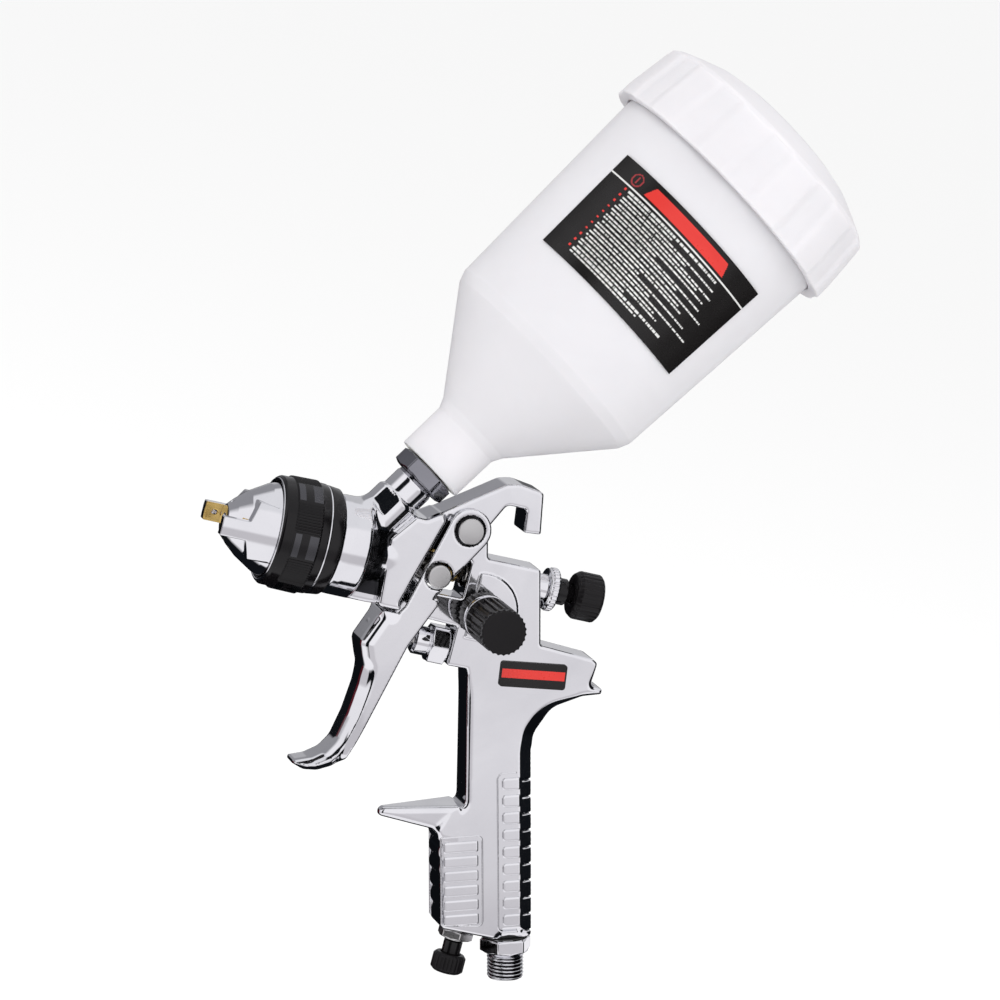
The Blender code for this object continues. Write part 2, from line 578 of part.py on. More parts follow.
def make_cup():
    """Gravity cup with its connector, strainer, lid, gasket and vent."""
    up = placed(CUP_FOOT, CUP_UP)
    tube = turned("tube", [
        (6.4, 51.8), (8.0, 51.4), (8.0, 39.0), (6.4, 33.2), (6.4, 20.0), (4.4, 20.0), (4.4, 51.8)],
        up, 24)
    nut = hexagon("cup_hex", 19.6, 33.2, 39.2, up)
    cut(nut, rod("cup_way", 5.4, 30.0, 42.0, up, 24))
    part("cup_connector", join(tube, nut), "dark_chrome")
    washer = turned("washer", [(12.2, 40.5), (12.2, 39.5), (8.4, 39.5), (8.4, 40.5)], up, 24)
    part("cup_seal_washer", washer, "seal_ptfe")

    low, high = CUP_RADIUS
    cup = turned("cup", [
        (high - 1.8, CUP_MOUTH), (high, CUP_MOUTH), (high, 177.0), (low, CUP_SHOULDER),
        (low - 1.6, CUP_SHOULDER - 4.0), (15.0, 60.6), (13.3, 57.0), (13.2, 40.8), (8.5, 40.8),
        (8.5, 54.0), (12.6, 61.4), (low - 3.2, CUP_SHOULDER - 2.6), (low - 1.8, CUP_SHOULDER + 1.0),
        (high - 1.8, 177.0)], up, 40)
    part("cup_body", cup, "cup_plastic")
    strainer = turned("strainer", [
        (0, 66.0), (3.4, 65.4), (3.8, 52.6), (3.8, 41.0), (3.0, 41.0), (3.0, 64.0), (0, 65.0)],
        up, 20, closed=False)
    part("cup_filter", strainer, "cup_plastic")

    gasket = turned("gasket", [(45.6, 200.9), (45.6, 199.3), (36.0, 199.3), (36.0, 200.9)], up, 40)
    part("lid_gasket", gasket, "cup_plastic")
    lid = turned("lid", [
        (3.2, 213.0), (26.0, 213.0), (33.0, 211.4), (40.0, 208.4), (46.8, 205.2), (48.8, 203.4),
        (50.6, 187.0), (50.8, 180.4), (46.2, 180.4), (46.0, 201.2), (42.0, 203.4), (32.0, 208.6),
        (25.0, 210.8), (3.2, 210.8)], up, 40)
    part("cup_lid", lid, "cup_plastic")
    vent = turned("vent", [
        (0, 215.2), (4.4, 215.2), (5.2, 214.4), (5.2, 213.3), (2.8, 213.3), (2.8, 208.6),
        (0, 208.6)], up, 20, closed=False)
    part("lid_vent_plug", vent, "cup_plastic")
    make_label(up)


def make_label(place):
    """Wrap-round sheet on the cup: an open strip that Solidify thickens outwards."""
    low, high = 121.5, 163.4
    middle, span = math.radians(165.0), math.radians(94.5)
    steps = 16
    shape = bmesh.new()
    rows = []
    for height in (low, high):
        share = (height - CUP_SHOULDER) / (177.0 - CUP_SHOULDER)
        radius = CUP_RADIUS[0] + share * (CUP_RADIUS[1] - CUP_RADIUS[0]) + GAP
        row = []
        for i in range(steps + 1):
            angle = middle + span * (i / steps - 0.5)
            row.append(shape.verts.new((radius * math.cos(angle) * MM,
                                        radius * math.sin(angle) * MM, height * MM)))
        rows.append(row)
    for i in range(steps):
        shape.faces.new((rows[0][i], rows[0][i + 1], rows[1][i + 1], rows[1][i]))
    mesh = bpy.data.meshes.new("label")
    shape.to_mesh(mesh)
    shape.free()
    label = scratch("label", mesh)
    label.matrix_world = place
    skin = label.modifiers.new("thickness", "SOLIDIFY")
    skin.thickness = 0.3 * MM
    skin.offset = 1.0
    part("cup_label", label, "label")


def make_badge():
    """Thin plate on the near side of the tang."""
    centre, length, height, tilt = (26.0, -30.5), 24.6, 9.2, math.radians(7.8)
    corners = []
    for x, z in ((-0.5, -0.5), (0.5, -0.5), (0.5, 0.5), (-0.5, 0.5)):
        dx, dz = x * length, z * height
        corners.append((centre[0] + dx * math.cos(tilt) - dz * math.sin(tilt),
                        centre[1] + dx * math.sin(tilt) + dz * math.cos(tilt)))
    part("body_badge", plate("badge", corners, 0.25, -BODY_HALF - GAP - 0.25), "label")


make_body()
make_head()
make_needle()
make_trigger()
make_air_valve()
make_fan_control()
make_handle_fittings()
make_cup()
make_badge()
settle_cutters()
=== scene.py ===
"""Looks of a gravity-feed HVLP spray gun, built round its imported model.

Sizes are millimetres in the gun frame: the nozzle axis is the X axis and points to
-X, Z is up, and the fan control is on the -Y side. The row's origin is at SEAT.
"""
import math

import bpy
import numpy as np
from mathutils import Matrix, Vector


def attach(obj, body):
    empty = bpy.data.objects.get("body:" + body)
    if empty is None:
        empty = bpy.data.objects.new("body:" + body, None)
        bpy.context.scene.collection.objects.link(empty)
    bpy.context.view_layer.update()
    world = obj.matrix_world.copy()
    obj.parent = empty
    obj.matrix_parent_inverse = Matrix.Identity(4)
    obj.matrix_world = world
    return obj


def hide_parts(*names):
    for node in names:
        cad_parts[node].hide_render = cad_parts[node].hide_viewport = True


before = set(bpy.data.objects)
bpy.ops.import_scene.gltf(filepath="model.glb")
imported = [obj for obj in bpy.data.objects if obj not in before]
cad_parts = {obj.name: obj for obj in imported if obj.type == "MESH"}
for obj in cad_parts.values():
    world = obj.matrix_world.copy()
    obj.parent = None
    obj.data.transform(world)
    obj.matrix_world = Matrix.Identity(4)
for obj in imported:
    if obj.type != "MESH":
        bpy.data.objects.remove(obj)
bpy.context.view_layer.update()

SEAT = np.array((4.0, 0.0, 27.2))      # middle of the hook's inner top face
CELL = 0.45                            # grid step of the cast surfaces
BODY_HALF, SLAB_HALF, GRIP_HALF = 7.4, 9.3, 8.4
HANDLE_LEAN = math.radians(15.2)
PIVOT = (-10.7, 15.7)
CROSS_PIN = (-17.7, -2.4)
PIVOT_HOLE, CROSS_HOLE = 5.5, 4.95     # radii in the trigger's cheeks
CHEEK_IN, CHEEK_OUT = 7.8, 9.6
VALVE_Z = -27.6
FAN_AXIS = (0.6, -12.3)
CUP_FOOT = (-50.0, 0.0, 0.0)
CUP_LEAN = math.radians(33.5)
INLET_FOOT = (43.1, 0.0, -126.0)
ADJUST_FOOT = (24.9, 0.0, -127.4)

FORWARD, REAR, NEAR = (-1, 0, 0), (1, 0, 0), (0, -1, 0)
CUP_UP = (math.sin(CUP_LEAN), 0, math.cos(CUP_LEAN))
GRIP_DOWN = (math.sin(HANDLE_LEAN), 0, -math.cos(HANDLE_LEAN))
GRIP_REAR = (math.cos(HANDLE_LEAN), 0, math.sin(HANDLE_LEAN))


# ---------------------------------------------------------------- pieces

def piece(name, points, faces, body, material, replaces=()):
    """A mesh from points in the gun frame, which rides on a body."""
    mesh = bpy.data.meshes.new(name)
    points = (np.asarray(points, float) - SEAT) * 0.001
    mesh.vertices.add(len(points))
    mesh.vertices.foreach_set("co", points.astype(np.float32).ravel())
    sizes = np.array([len(face) for face in faces])
    corners = np.concatenate(faces)
    mesh.loops.add(len(corners))
    mesh.loops.foreach_set("vertex_index", corners.astype(np.int32))
    mesh.polygons.add(len(sizes))
    starts = np.concatenate(([0], np.cumsum(sizes)[:-1]))
    mesh.polygons.foreach_set("loop_start", starts.astype(np.int32))
    mesh.polygons.foreach_set("use_smooth", np.full(len(sizes), True))
    mesh.update(calc_edges=True)
    mesh.validate()
    thing = bpy.data.objects.new(name, mesh)
    bpy.context.scene.collection.objects.link(thing)
    mesh.materials.append(material)
    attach(thing, body)
    if replaces:
        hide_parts(*replaces)
    return thing


# ---------------------------------------------------------------- distance fields

def arc(centre, radius, start, end, steps=8):
    """Points on an arc in the XZ plane, angles in degrees from +X towards +Z."""
    turns = np.radians(np.linspace(start, end, steps + 1))
    return [(centre[0] + radius * math.cos(a), centre[1] + radius * math.sin(a)) for a in turns]


def eased(corners, spacing=0.35):
    """An outline from (x, z, radius) corners, with every corner rounded by an arc."""
    outline = []
    count = len(corners)
    for i, (x, z, radius) in enumerate(corners):
        here = np.array((x, z), float)
        back = np.array(corners[i - 1][:2], float) - here
        ahead = np.array(corners[(i + 1) % count][:2], float) - here
        size_back, size_ahead = np.hypot(*back), np.hypot(*ahead)
        back, ahead = back / size_back, ahead / size_ahead
        half = math.acos(np.clip(back @ ahead, -1, 1)) / 2
        if radius <= 0 or half > math.radians(89):
            outline.append(tuple(here))
            continue
        reach = min(radius / math.tan(half), 0.49 * size_back, 0.49 * size_ahead)
        radius = reach * math.tan(half)
        middle = here + (back + ahead) / np.linalg.norm(back + ahead) * radius / math.sin(half)
        first, last = here + back * reach - middle, here + ahead * reach - middle
        start = math.atan2(first[1], first[0])
        sweep = (math.atan2(last[1], last[0]) - start + math.pi) % (2 * math.pi) - math.pi
        steps = max(2, int(abs(sweep) * radius / spacing) + 1)
        for k in range(steps + 1):
            a = start + sweep * k / steps
            outline.append((middle[0] + radius * math.cos(a), middle[1] + radius * math.sin(a)))
    return outline


def polygon(u, v, outline):
    """Signed distance to a closed outline in a plane, negative inside."""
    shape = np.broadcast(u, v).shape
    nearest = np.full(shape, 1e9, np.float32)
    inside = np.zeros(shape, bool)
    ends = outline[1:] + outline[:1]
    for (u0, v0), (u1, v1) in zip(outline, ends):
        du, dv = u1 - u0, v1 - v0
        square = du * du + dv * dv
        if square < 1e-9:
            continue
        pu, pv = u - u0, v - v0
        along = np.clip((pu * du + pv * dv) / square, 0, 1)
        np.minimum(nearest, (pu - du * along) ** 2 + (pv - dv * along) ** 2, out=nearest)
        if v0 != v1:
            cross = ((v0 <= v) != (v1 <= v)) & (pu < pv * (du / dv))
            inside ^= cross
    nearest = np.sqrt(nearest)
    return np.where(inside, -nearest, nearest)


def blend(a, b, k):
    """Union of two fields with a fillet of about k."""
    h = np.clip(0.5 + 0.5 * (b - a) / k, 0, 1)
    return b + (a - b) * h - k * h * (1 - h)


def both(a, b, k=0.5):
    """Intersection of two fields with an edge rounded by about k."""
    return -blend(-a, -b, k)


def less(a, b, k=0.5):
    """The first field without the second."""
    return -blend(-a, b, k)


def layer(flat, across, half, edge):
    """A flat shape made as thick as twice half, its edges rounded by edge."""
    w1, w2 = flat + edge, np.abs(across) - half + edge
    outer = np.sqrt(np.maximum(w1, 0) ** 2 + np.maximum(w2, 0) ** 2)
    return np.minimum(np.maximum(w1, w2), 0) + outer - edge


def ramp(value, low, high):
    """0 below low and 1 above high, with a smooth change between."""
    t = np.clip((value - low) / (high - low), 0, 1)
    return t * t * (3 - 2 * t)


def axes_of(place):
    """The two cross axes and the long axis of a placed matrix."""
    return [np.array(place.col[i][:3]) for i in range(3)], np.array(place.col[3][:3])


def placed(point, direction=(0, 0, 1)):
    """Matrix for a shape made about local Z, set at a point in the gun frame."""
    turn = Vector(direction).to_track_quat("Z", "Y").to_matrix().to_4x4()
    return Matrix.Translation(Vector(point)) @ turn


def local(place, x, y, z):
    """Coordinates along the axes of a placed matrix."""
    (a, b, c), origin = axes_of(place)
    px, py, pz = x - origin[0], y - origin[1], z - origin[2]
    return [px * w[0] + py * w[1] + pz * w[2] for w in (a, b, c)]


def bump_row(value, first, pitch, count, width):
    """Evenly spaced humps of height one along a value."""
    near = np.clip(np.round((value - first) / pitch), 0, count - 1) * pitch + first
    return np.exp(-((value - near) / width) ** 2)


def round_bar(place, radius, low, high, x, y, z, edge=0.3):
    """Field of a round bar along a placed axis."""
    u, v, t = local(place, x, y, z)
    return layer(np.sqrt(u * u + v * v) - radius, t - (low + high) / 2, (high - low) / 2, edge)


def surface(field, low, high, cell):
    """The zero surface of a field in a box, as points and four-sided faces."""
    axes = [np.arange(a, b + cell * 1.01, cell, dtype=np.float32) for a, b in zip(low, high)]
    x, y, z = axes[0][:, None, None], axes[1][None, :, None], axes[2][None, None, :]
    value = np.ascontiguousarray(np.broadcast_to(field(x, y, z), [len(a) for a in axes]),
                                 dtype=np.float32)
    inside = value < 0
    nx, ny, nz = value.shape
    count = np.zeros((nx - 1, ny - 1, nz - 1), np.int8)
    for i in (0, 1):
        for j in (0, 1):
            for k in (0, 1):
                count += inside[i:nx - 1 + i, j:ny - 1 + j, k:nz - 1 + k]
    cells = np.argwhere((count > 0) & (count < 8))     # one point in each cell that is crossed
    index = np.full(count.shape, -1, np.int32)
    index[tuple(cells.T)] = np.arange(len(cells))
    total = np.zeros((len(cells), 3))
    hits = np.zeros(len(cells))
    corners = [(i, j, k) for i in (0, 1) for j in (0, 1) for k in (0, 1)]
    for a in corners:
        for axis in range(3):
            if a[axis]:
                continue
            b = list(a)
            b[axis] = 1
            va = value[tuple((cells + a).T)]
            vb = value[tuple((cells + b).T)]
            crossing = (va < 0) != (vb < 0)
            share = np.where(crossing, va / np.where(crossing, va - vb, 1), 0)
            point = cells + np.array(a)
            offset = np.zeros_like(total)
            offset[:, axis] = share
            total += np.where(crossing[:, None], point + offset, 0)
            hits += crossing
    points = np.array([a[0] for a in axes]) + total / hits[:, None] * cell
    for _ in range(3):
        points = settle(field, points, cell)
    quads = []                                         # one face across each crossed grid edge
    for axis in range(3):
        ahead = [slice(1, -1)] * 3
        ahead[axis] = slice(0, -1)
        after = [slice(1, -1)] * 3
        after[axis] = slice(1, None)
        first, second = inside[tuple(ahead)], inside[tuple(after)]
        edges = np.argwhere(first != second)
        if not len(edges):
            continue
        flip = second[tuple(edges.T)]
        shift = np.ones(3, int)
        shift[axis] = 0
        base = edges + shift
        p, q = [i for i in range(3) if i != axis]
        ring = []
        for dp, dq in ((1, 1), (0, 1), (0, 0), (1, 0)):
            cell_at = base.copy()
            cell_at[:, p] -= dp
            cell_at[:, q] -= dq
            ring.append(index[tuple(cell_at.T)])
        quad = np.stack(ring, 1)
        turn = flip if axis != 1 else ~flip
        quad[turn] = quad[turn][:, ::-1]
        quads.append(quad)
    return points, np.concatenate(quads)


def settle(field, points, cell):
    """Moves points along the field's slope onto its zero surface."""
    step = 0.04 * cell
    x, y, z = points.T
    here = field(x, y, z)
    slope = np.stack([field(x + step, y, z) - here, field(x, y + step, z) - here,
                      field(x, y, z + step) - here], 1) / step
    move = slope * (here / np.maximum((slope ** 2).sum(1), 0.05))[:, None]
    size = np.linalg.norm(move, axis=1)
    move *= np.minimum(1, 0.5 * cell / np.maximum(size, 1e-9))[:, None]
    return points - move


def cast(name, field, low, high, body, material, replaces=(), cell=CELL):
    """A piece from a distance field."""
    points, quads = surface(field, low, high, cell)
    return piece(name, points, quads, body, material, replaces)


# ---------------------------------------------------------------- materials

def paint(thing, material, chosen):
    """A second material on the faces whose middle, in the gun frame, is chosen."""
    mesh = thing.data
    middles = np.empty(len(mesh.polygons) * 3, np.float32)
    mesh.polygons.foreach_get("center", middles)
    index = np.zeros(len(mesh.polygons), np.int32)
    mesh.polygons.foreach_get("material_index", index)
    index[chosen(middles.reshape(-1, 3) * 1000 + SEAT)] = len(mesh.materials)
    mesh.materials.append(material)
    mesh.polygons.foreach_set("material_index", index)
    mesh.update()


def graph(name):
    """A new node material with its shader and object coordinates."""
    material = bpy.data.materials.new(name)
    material.use_nodes = True
    tree = material.node_tree
    shader = tree.nodes["Principled BSDF"]
    place = tree.nodes.new("ShaderNodeTexCoord")
    return material, tree, shader, place.outputs["Object"]


def noise(tree, place, scale, detail=3.0, stretch=(1, 1, 1), distortion=0.0):
    """Noise in object space; a scale of 1000 gives features of about a millimetre."""
    mapping = tree.nodes.new("ShaderNodeMapping")
    mapping.inputs["Scale"].default_value = stretch
    tree.links.new(place, mapping.inputs["Vector"])
    node = tree.nodes.new("ShaderNodeTexNoise")
    node.inputs["Scale"].default_value = scale
    node.inputs["Detail"].default_value = detail
    node.inputs["Distortion"].default_value = distortion
    tree.links.new(mapping.outputs["Vector"], node.inputs["Vector"])
    return node.outputs["Fac"]


def spread(tree, value, low, high, from_low=0.3, from_high=0.7):
    """Maps a value from one range to another."""
    node = tree.nodes.new("ShaderNodeMapRange")
    node.inputs["From Min"].default_value = from_low
    node.inputs["From Max"].default_value = from_high
    node.inputs["To Min"].default_value = low
    node.inputs["To Max"].default_value = high
    tree.links.new(value, node.inputs["Value"])
    return node.outputs["Result"]


def mixed(tree, factor, first, second):
    """Colour between two colours, each a socket or three numbers."""
    node = tree.nodes.new("ShaderNodeMix")
    node.data_type = "RGBA"
    tree.links.new(factor, node.inputs["Factor"])
    for socket, colour in ((node.inputs[6], first), (node.inputs[7], second)):
        if isinstance(colour, tuple):
            socket.default_value = (*colour, 1)
        else:
            tree.links.new(colour, socket)
    return node.outputs[2]


def bumped(tree, shader, height, strength, distance):
    """Drives the shader's normal from a height."""
    node = tree.nodes.new("ShaderNodeBump")
    node.inputs["Strength"].default_value = strength
    node.inputs["Distance"].default_value = distance
    tree.links.new(height, node.inputs["Height"])
    tree.links.new(node.outputs["Normal"], shader.inputs["Normal"])


def finish(name, light, dark, metallic, rough, grain, bump=0.1, stretch=(1, 1, 1),
           gloss=0.5, patch=40.0):
    """A worn surface: colour clouds, fine grain, roughness in patches and a faint bump.
    rough holds the lowest and highest roughness, grain the scale of the fine noise."""
    material, tree, shader, place = graph(name)
    clouds = noise(tree, place, patch, 4.0, distortion=0.6)
    fine = noise(tree, place, grain, 5.0, stretch)
    colour = mixed(tree, spread(tree, clouds, 0.0, 1.0), light, dark)
    tree.links.new(colour, shader.inputs["Base Color"])
    node = tree.nodes.new("ShaderNodeMath")
    node.operation = "MULTIPLY_ADD"
    node.inputs[1].default_value = 0.5
    tree.links.new(spread(tree, fine, rough[0] * 0.5, rough[1] * 0.5), node.inputs[2])
    tree.links.new(spread(tree, clouds, rough[0], rough[1]), node.inputs[0])
    tree.links.new(node.outputs["Value"], shader.inputs["Roughness"])
    shader.inputs["Metallic"].default_value = metallic
    shader.inputs["Specular IOR Level"].default_value = gloss
    bumped(tree, shader, fine, bump, 0.0001)
    return material


CHROME = finish("polished_chrome", (0.88, 0.88, 0.90), (0.80, 0.80, 0.825), 1.0,
                (0.035, 0.09), 900.0, 0.02)
DARK_CHROME = finish("dark_chrome", (0.30, 0.30, 0.33), (0.20, 0.20, 0.22), 1.0,
                     (0.05, 0.13), 1500.0, 0.05)
# Painted shade: a near-black metal put in recesses, pin holes and thread roots where shade and dark
# reflections fall.
PAINTED_SHADE = finish("painted_recess_shade", (0.055, 0.055, 0.060), (0.020, 0.020, 0.023), 1.0,
                (0.16, 0.38), 700.0, 0.25)
STEEL = finish("turned_steel", (0.70, 0.68, 0.66), (0.56, 0.55, 0.53), 1.0,
               (0.28, 0.42), 1800.0, 0.10)
BRASS = finish("brass", (0.78, 0.56, 0.20), (0.60, 0.40, 0.11), 1.0, (0.18, 0.36), 1500.0, 0.08)
SATIN = finish("satin_steel", (0.66, 0.655, 0.65), (0.58, 0.575, 0.57), 1.0, (0.26, 0.36),
               2200.0, 0.08)
ANODISED = finish("black_anodised", (0.0050, 0.0045, 0.0050), (0.0025, 0.0020, 0.0025), 0.0,
                  (0.12, 0.22), 1200.0, 0.05, gloss=0.30)
# Painted highlight: a lighter grey metal on the ring's pads, standing in for the reflections on them.
PAINTED_HIGHLIGHT = finish("anodised_painted_highlight", (0.11, 0.11, 0.12), (0.07, 0.07, 0.075), 1.0, (0.18, 0.34),
              1200.0, 0.06)
BLACK = finish("black_plastic", (0.0060, 0.0050, 0.0060), (0.0030, 0.0025, 0.0030), 0.0,
               (0.26, 0.42), 1400.0, 0.18, gloss=0.25)
PTFE = finish("ptfe", (0.86, 0.86, 0.83), (0.78, 0.78, 0.74), 0.0, (0.4, 0.55), 900.0, 0.1)
RUBBER = finish("rubber", (0.030, 0.030, 0.030), (0.016, 0.016, 0.016), 0.0, (0.6, 0.8),
                1500.0, 0.3)
PLASTIC = finish("milky_plastic", (0.700, 0.685, 0.710), (0.665, 0.650, 0.675), 0.0,
                 (0.36, 0.48), 500.0, 0.06, gloss=0.3, patch=25.0)
INKS = (
    finish("label_black", (0.010, 0.009, 0.009), (0.006, 0.005, 0.005), 0.0, (0.22, 0.36), 900.0,
           0.04, gloss=0.35),
    finish("label_white", (0.66, 0.66, 0.65), (0.58, 0.58, 0.57), 0.0, (0.26, 0.40), 900.0, 0.04),
    finish("label_red", (0.66, 0.030, 0.022), (0.58, 0.022, 0.016), 0.0, (0.24, 0.38), 900.0, 0.04),
    finish("label_dark_red", (0.30, 0.020, 0.025), (0.24, 0.015, 0.02), 0.0, (0.24, 0.38), 900.0,
           0.04))
MILKY = PLASTIC.node_tree.nodes["Principled BSDF"].inputs      # lets light spread inside
MILKY["Subsurface Weight"].default_value = 0.35
MILKY["Subsurface Radius"].default_value = (1.0, 0.9, 0.85)
MILKY["Subsurface Scale"].default_value = 0.006


# ---------------------------------------------------------------- placed axes

AHEAD = placed((0, 0, 0), FORWARD)
AFT = placed((0, 0, 0), REAR)
CUP = placed(CUP_FOOT, CUP_UP)
FAN = placed((FAN_AXIS[0], 0, FAN_AXIS[1]), NEAR)
VALVE = placed((0, 0, VALVE_Z), FORWARD)
INLET = placed(INLET_FOOT, GRIP_DOWN)
ADJUST = placed(ADJUST_FOOT, (0, 0, -1))
PIVOT_AXIS = placed((PIVOT[0], 0, PIVOT[1]), NEAR)
CROSS_AXIS = placed((CROSS_PIN[0], 0, CROSS_PIN[1]), NEAR)


# ---------------------------------------------------------------- gun body

def block_side():
    """Hook, bridge, rear block, tang, handle and grip seen from the side."""
    hook = [(-34.0, 8.0, 0), (-30.9, 16.4, 1.0), (-27.0, 16.0, 3.0), (-0.9, 34.4, 6.0),
            (3.6, 35.5, 9.0), (13.0, 34.2, 1.5), (15.8, 19.4, 0.7), (9.4, 18.8, 0.7),
            (8.3, 27.2, 1.7), (1.0, 27.2, 2.6), (-3.5, 18.3, 2.2), (-2.6, 13.4, 3.0),
            (-0.9, 7.0, 1.6)]
    rear = [(19.1, 7.1, 1.0), (26.2, -19.4, 1.0), (46.6, -20.4, 3.0), (48.6, -21.6, 1.4),
            (48.4, -30.0, 1.8), (53.2, -30.5, 0.8), (53.2, -32.4, 0.8), (46.5, -34.5, 8.0)]
    rear += [(36.6, -40.6, 9.0), (32.4, -51.0, 8.0), (33.0, -57.5, 12.0), (50.8, -123.9, 2.0),
             (38.6, -127.2, 1.5)]
    front = [(16.8, -127.2, 2.0), (6.4, -92.6, 0.5), (9.0, -88.0, 1.0), (14.2, -81.4, 4.0),
             (2.5, -35.0, 0.5), (1.6, -33.2, 0.5)]
    valve = [(-5.8, -33.4, 0.8), (-5.8, -19.0, 0.5), (-19.6, -18.4, 1.0), (-19.6, -8.8, 1.0),
             (-6.6, -8.8, 0.8)]
    window = [(-6.6, 4.2, 1.0), (-8.4, 6.0, 0.8), (-24.6, 6.0, 1.0), (-28.0, -4.0, 0.5),
              (-34.0, -4.0, 0)]
    return eased(hook + rear + front + valve + window)


def slab_side():
    """The slab between the barrel and the trigger's cheeks."""
    return eased([(-38.3, 7.0, 0.5), (-30.9, 16.5, 1.5), (-27.0, 16.3, 3.0), (-21.4, 20.0, 2.0),
                  (-19.8, 17.0, 0.8), (-28.9, -14.6, 1.0), (-27.6, -17.4, 0.8),
                  (-36.4, -17.4, 1.5)])


BLOCK = block_side()
SLAB = slab_side()
BARREL = [(0, 67.4), (15.4, 67.4), (15.4, 57.4), (17.0, 57.2), (17.5, 56.6), (17.7, 54.0),
          (17.7, 47.4), (17.2, 46.6), (15.2, 45.6), (13.2, 44.2), (11.6, 42.4), (10.4, 40.2),
          (9.6, 37.6), (8.6, 34.0), (0, 34.0)]
COLLAR = eased([(0, 33.0, 0), (7.2, 33.0, 0.3), (7.7, 31.6, 0.3), (7.7, 24.9, 0.2),
                (8.1, 24.8, 0.1), (8.1, 24.2, 0.1), (7.0, 24.0, 0), (7.0, 20.0, 0), (0, 20.0, 0)],
               0.2)
WEB = eased([(-57.0, -17.5, 0.3), (-57.0, -9.0, 0), (-36.4, -9.0, 0), (-36.4, -17.4, 0.3),
             (-40.0, -17.6, 0)])
WEB_HALF = 5.0
BOSS = eased([(0, 24.5, 0), (8.2, 24.5, 0.2), (8.7, 23.8, 0.3), (8.8, 6.0, 0), (0, 6.0, 0)], 0.2)
BEVEL_FLAT, BEVEL_SIDE = 0.3875, 0.9219      # unit normal of the grip's bevelled rear edge
BORES = (                                    # axis, radius, start and end along the axis
    (AHEAD, 13.0, 54.0, 72.0), (AHEAD, 5.6, 40.0, 56.0), (AHEAD, 2.8, 25.0, 42.0),
    (AHEAD, 5.4, 20.0, 28.9), (AHEAD, 5.4, -26.0, 8.0), (CUP, 6.6, 19.0, 36.0),
    (VALVE, 4.8, -24.0, 8.0), (FAN, 4.9, -5.6, 12.0), (INLET, 6.2, -12.0, 3.0),
    (ADJUST, 3.8, -16.0, 3.0))


def along_handle(x, z):
    """Distances down the leaning handle and towards its rear."""
    return x * GRIP_DOWN[0] + z * GRIP_DOWN[2], x * GRIP_REAR[0] + z * GRIP_REAR[2]


def thicker(down):
    """What each side gains in thickness down the grip."""
    return (GRIP_HALF - BODY_HALF) * ramp(down, 34.0, 124.0)


def handle_field(flat, y, down, rear, half):
    """Hook, bridge, block and handle, with the grip's bevel, notches and finger scallops."""
    edge = 0.9 + ramp(down, 34.0, 44.0) * 1.2 * (1 - 0.55 * ramp(down, 34.0, 124.0))
    field = layer(flat, y, half, edge)
    taper = 4.6 * ramp(rear, 0.0, 6.0) * ramp(down, 40.0, 52.0)
    bevel = BEVEL_FLAT * (flat + taper) + BEVEL_SIDE * (np.abs(y) - half)
    field = both(field, bevel, 0.12)
    field = field + 0.8 * bump_row(down, 74.7, 6.17, 10, 0.36) * ramp(rear, 12.2, 13.4)
    scallop = bump_row(down, 96.1, 6.28, 5, 1.3) * (1 - ramp(rear, -18.6, -16.2))
    return field + 1.5 * scallop


def boss_field(x, y, z, radius, t):
    """The cup's boss, with a flat cut on the side of it."""
    boss = polygon(radius, t, BOSS)
    facet = 8.0 - (-0.50 * (x + 37.5) - 0.80 * y + 0.33 * (z - 18.0))
    return less(boss, both(facet, 16.0 - t, 0.3), 0.3)


def spur_field(x, y, z):
    """The finger spur at the top of the grip, a wedge between planes."""
    top = (z + 83.6 - (x - 6.0) * 0.2689) * 0.966
    low = -(z + 92.6) + (6.0 - x) * 0.0095
    side = (np.abs(y) - 7.4 + (6.0 - x) * 0.2358) * 0.973
    spur = both(both(top, low, 1.6), side, 2.2)
    return both(both(spur, -15.2 - x, 2.0), x - 12.0, 1.0)


def disc_field(flat, x, y, z):
    """The low raised disc round the fan control."""
    disc = np.sqrt((x - FAN_AXIS[0]) ** 2 + (z - FAN_AXIS[1]) ** 2) - 14.0
    disc = both(disc, both(flat + 1.2, -y - BODY_HALF - 0.85, 0.35), 0.3)
    disc = both(both(disc, -2.2 - x, 0.3), -22.0 - z, 0.3)
    return both(disc, y, 0.4)


def slot_field(x, y, z):
    """A narrow slot on each side, between the slab and the trigger's pivot."""
    front = np.abs(x - (z - 12.2) * 0.2857 + 20.1) * 0.96 - 1.2
    return both(both(front, np.abs(z - 8.0) - 11.5, 0.5), 4.2 - np.abs(y), 0.4)


def body_field(x, y, z):
    """The casting: one solid of blended parts, less its bores."""
    down, rear = along_handle(x, z)
    half = BODY_HALF + thicker(down)
    flat = polygon(x, z, BLOCK)
    u, v, t = local(CUP, x, y, z)
    cup_radius = np.sqrt(u * u + v * v)
    field = handle_field(flat, y, down, rear, half)
    field = blend(field, layer(polygon(x, z, SLAB), y, SLAB_HALF, 1.2), 0.8)
    field = blend(field, layer(polygon(x, z, WEB), y, WEB_HALF, 1.2), 0.8)
    barrel = polygon(np.sqrt(y * y + z * z), -x, BARREL)
    field = blend(field, blend(barrel, boss_field(x, y, z, cup_radius, t), 3.0), 0.9)
    field = blend(field, polygon(cup_radius, t, COLLAR), 0.2)
    cover = np.abs(y) - half - 0.15 - 20.0 * (1 - ramp(down, 52.0, 60.0))
    field = both(blend(field, spur_field(x, y, z), 2.6), cover, 0.1)
    field = blend(field, disc_field(flat, x, y, z), 0.12)
    field = less(field, slot_field(x, y, z), 0.3)
    for axis, radius, start, end in BORES:
        field = less(field, round_bar(axis, radius, start, end, x, y, z), 0.5)
    return field


body = cast("body_casting", body_field, (-69.5, -19.5, -129.0), (55.0, 19.5, 38.0), "gun",
            CHROME, ("gun_body",))


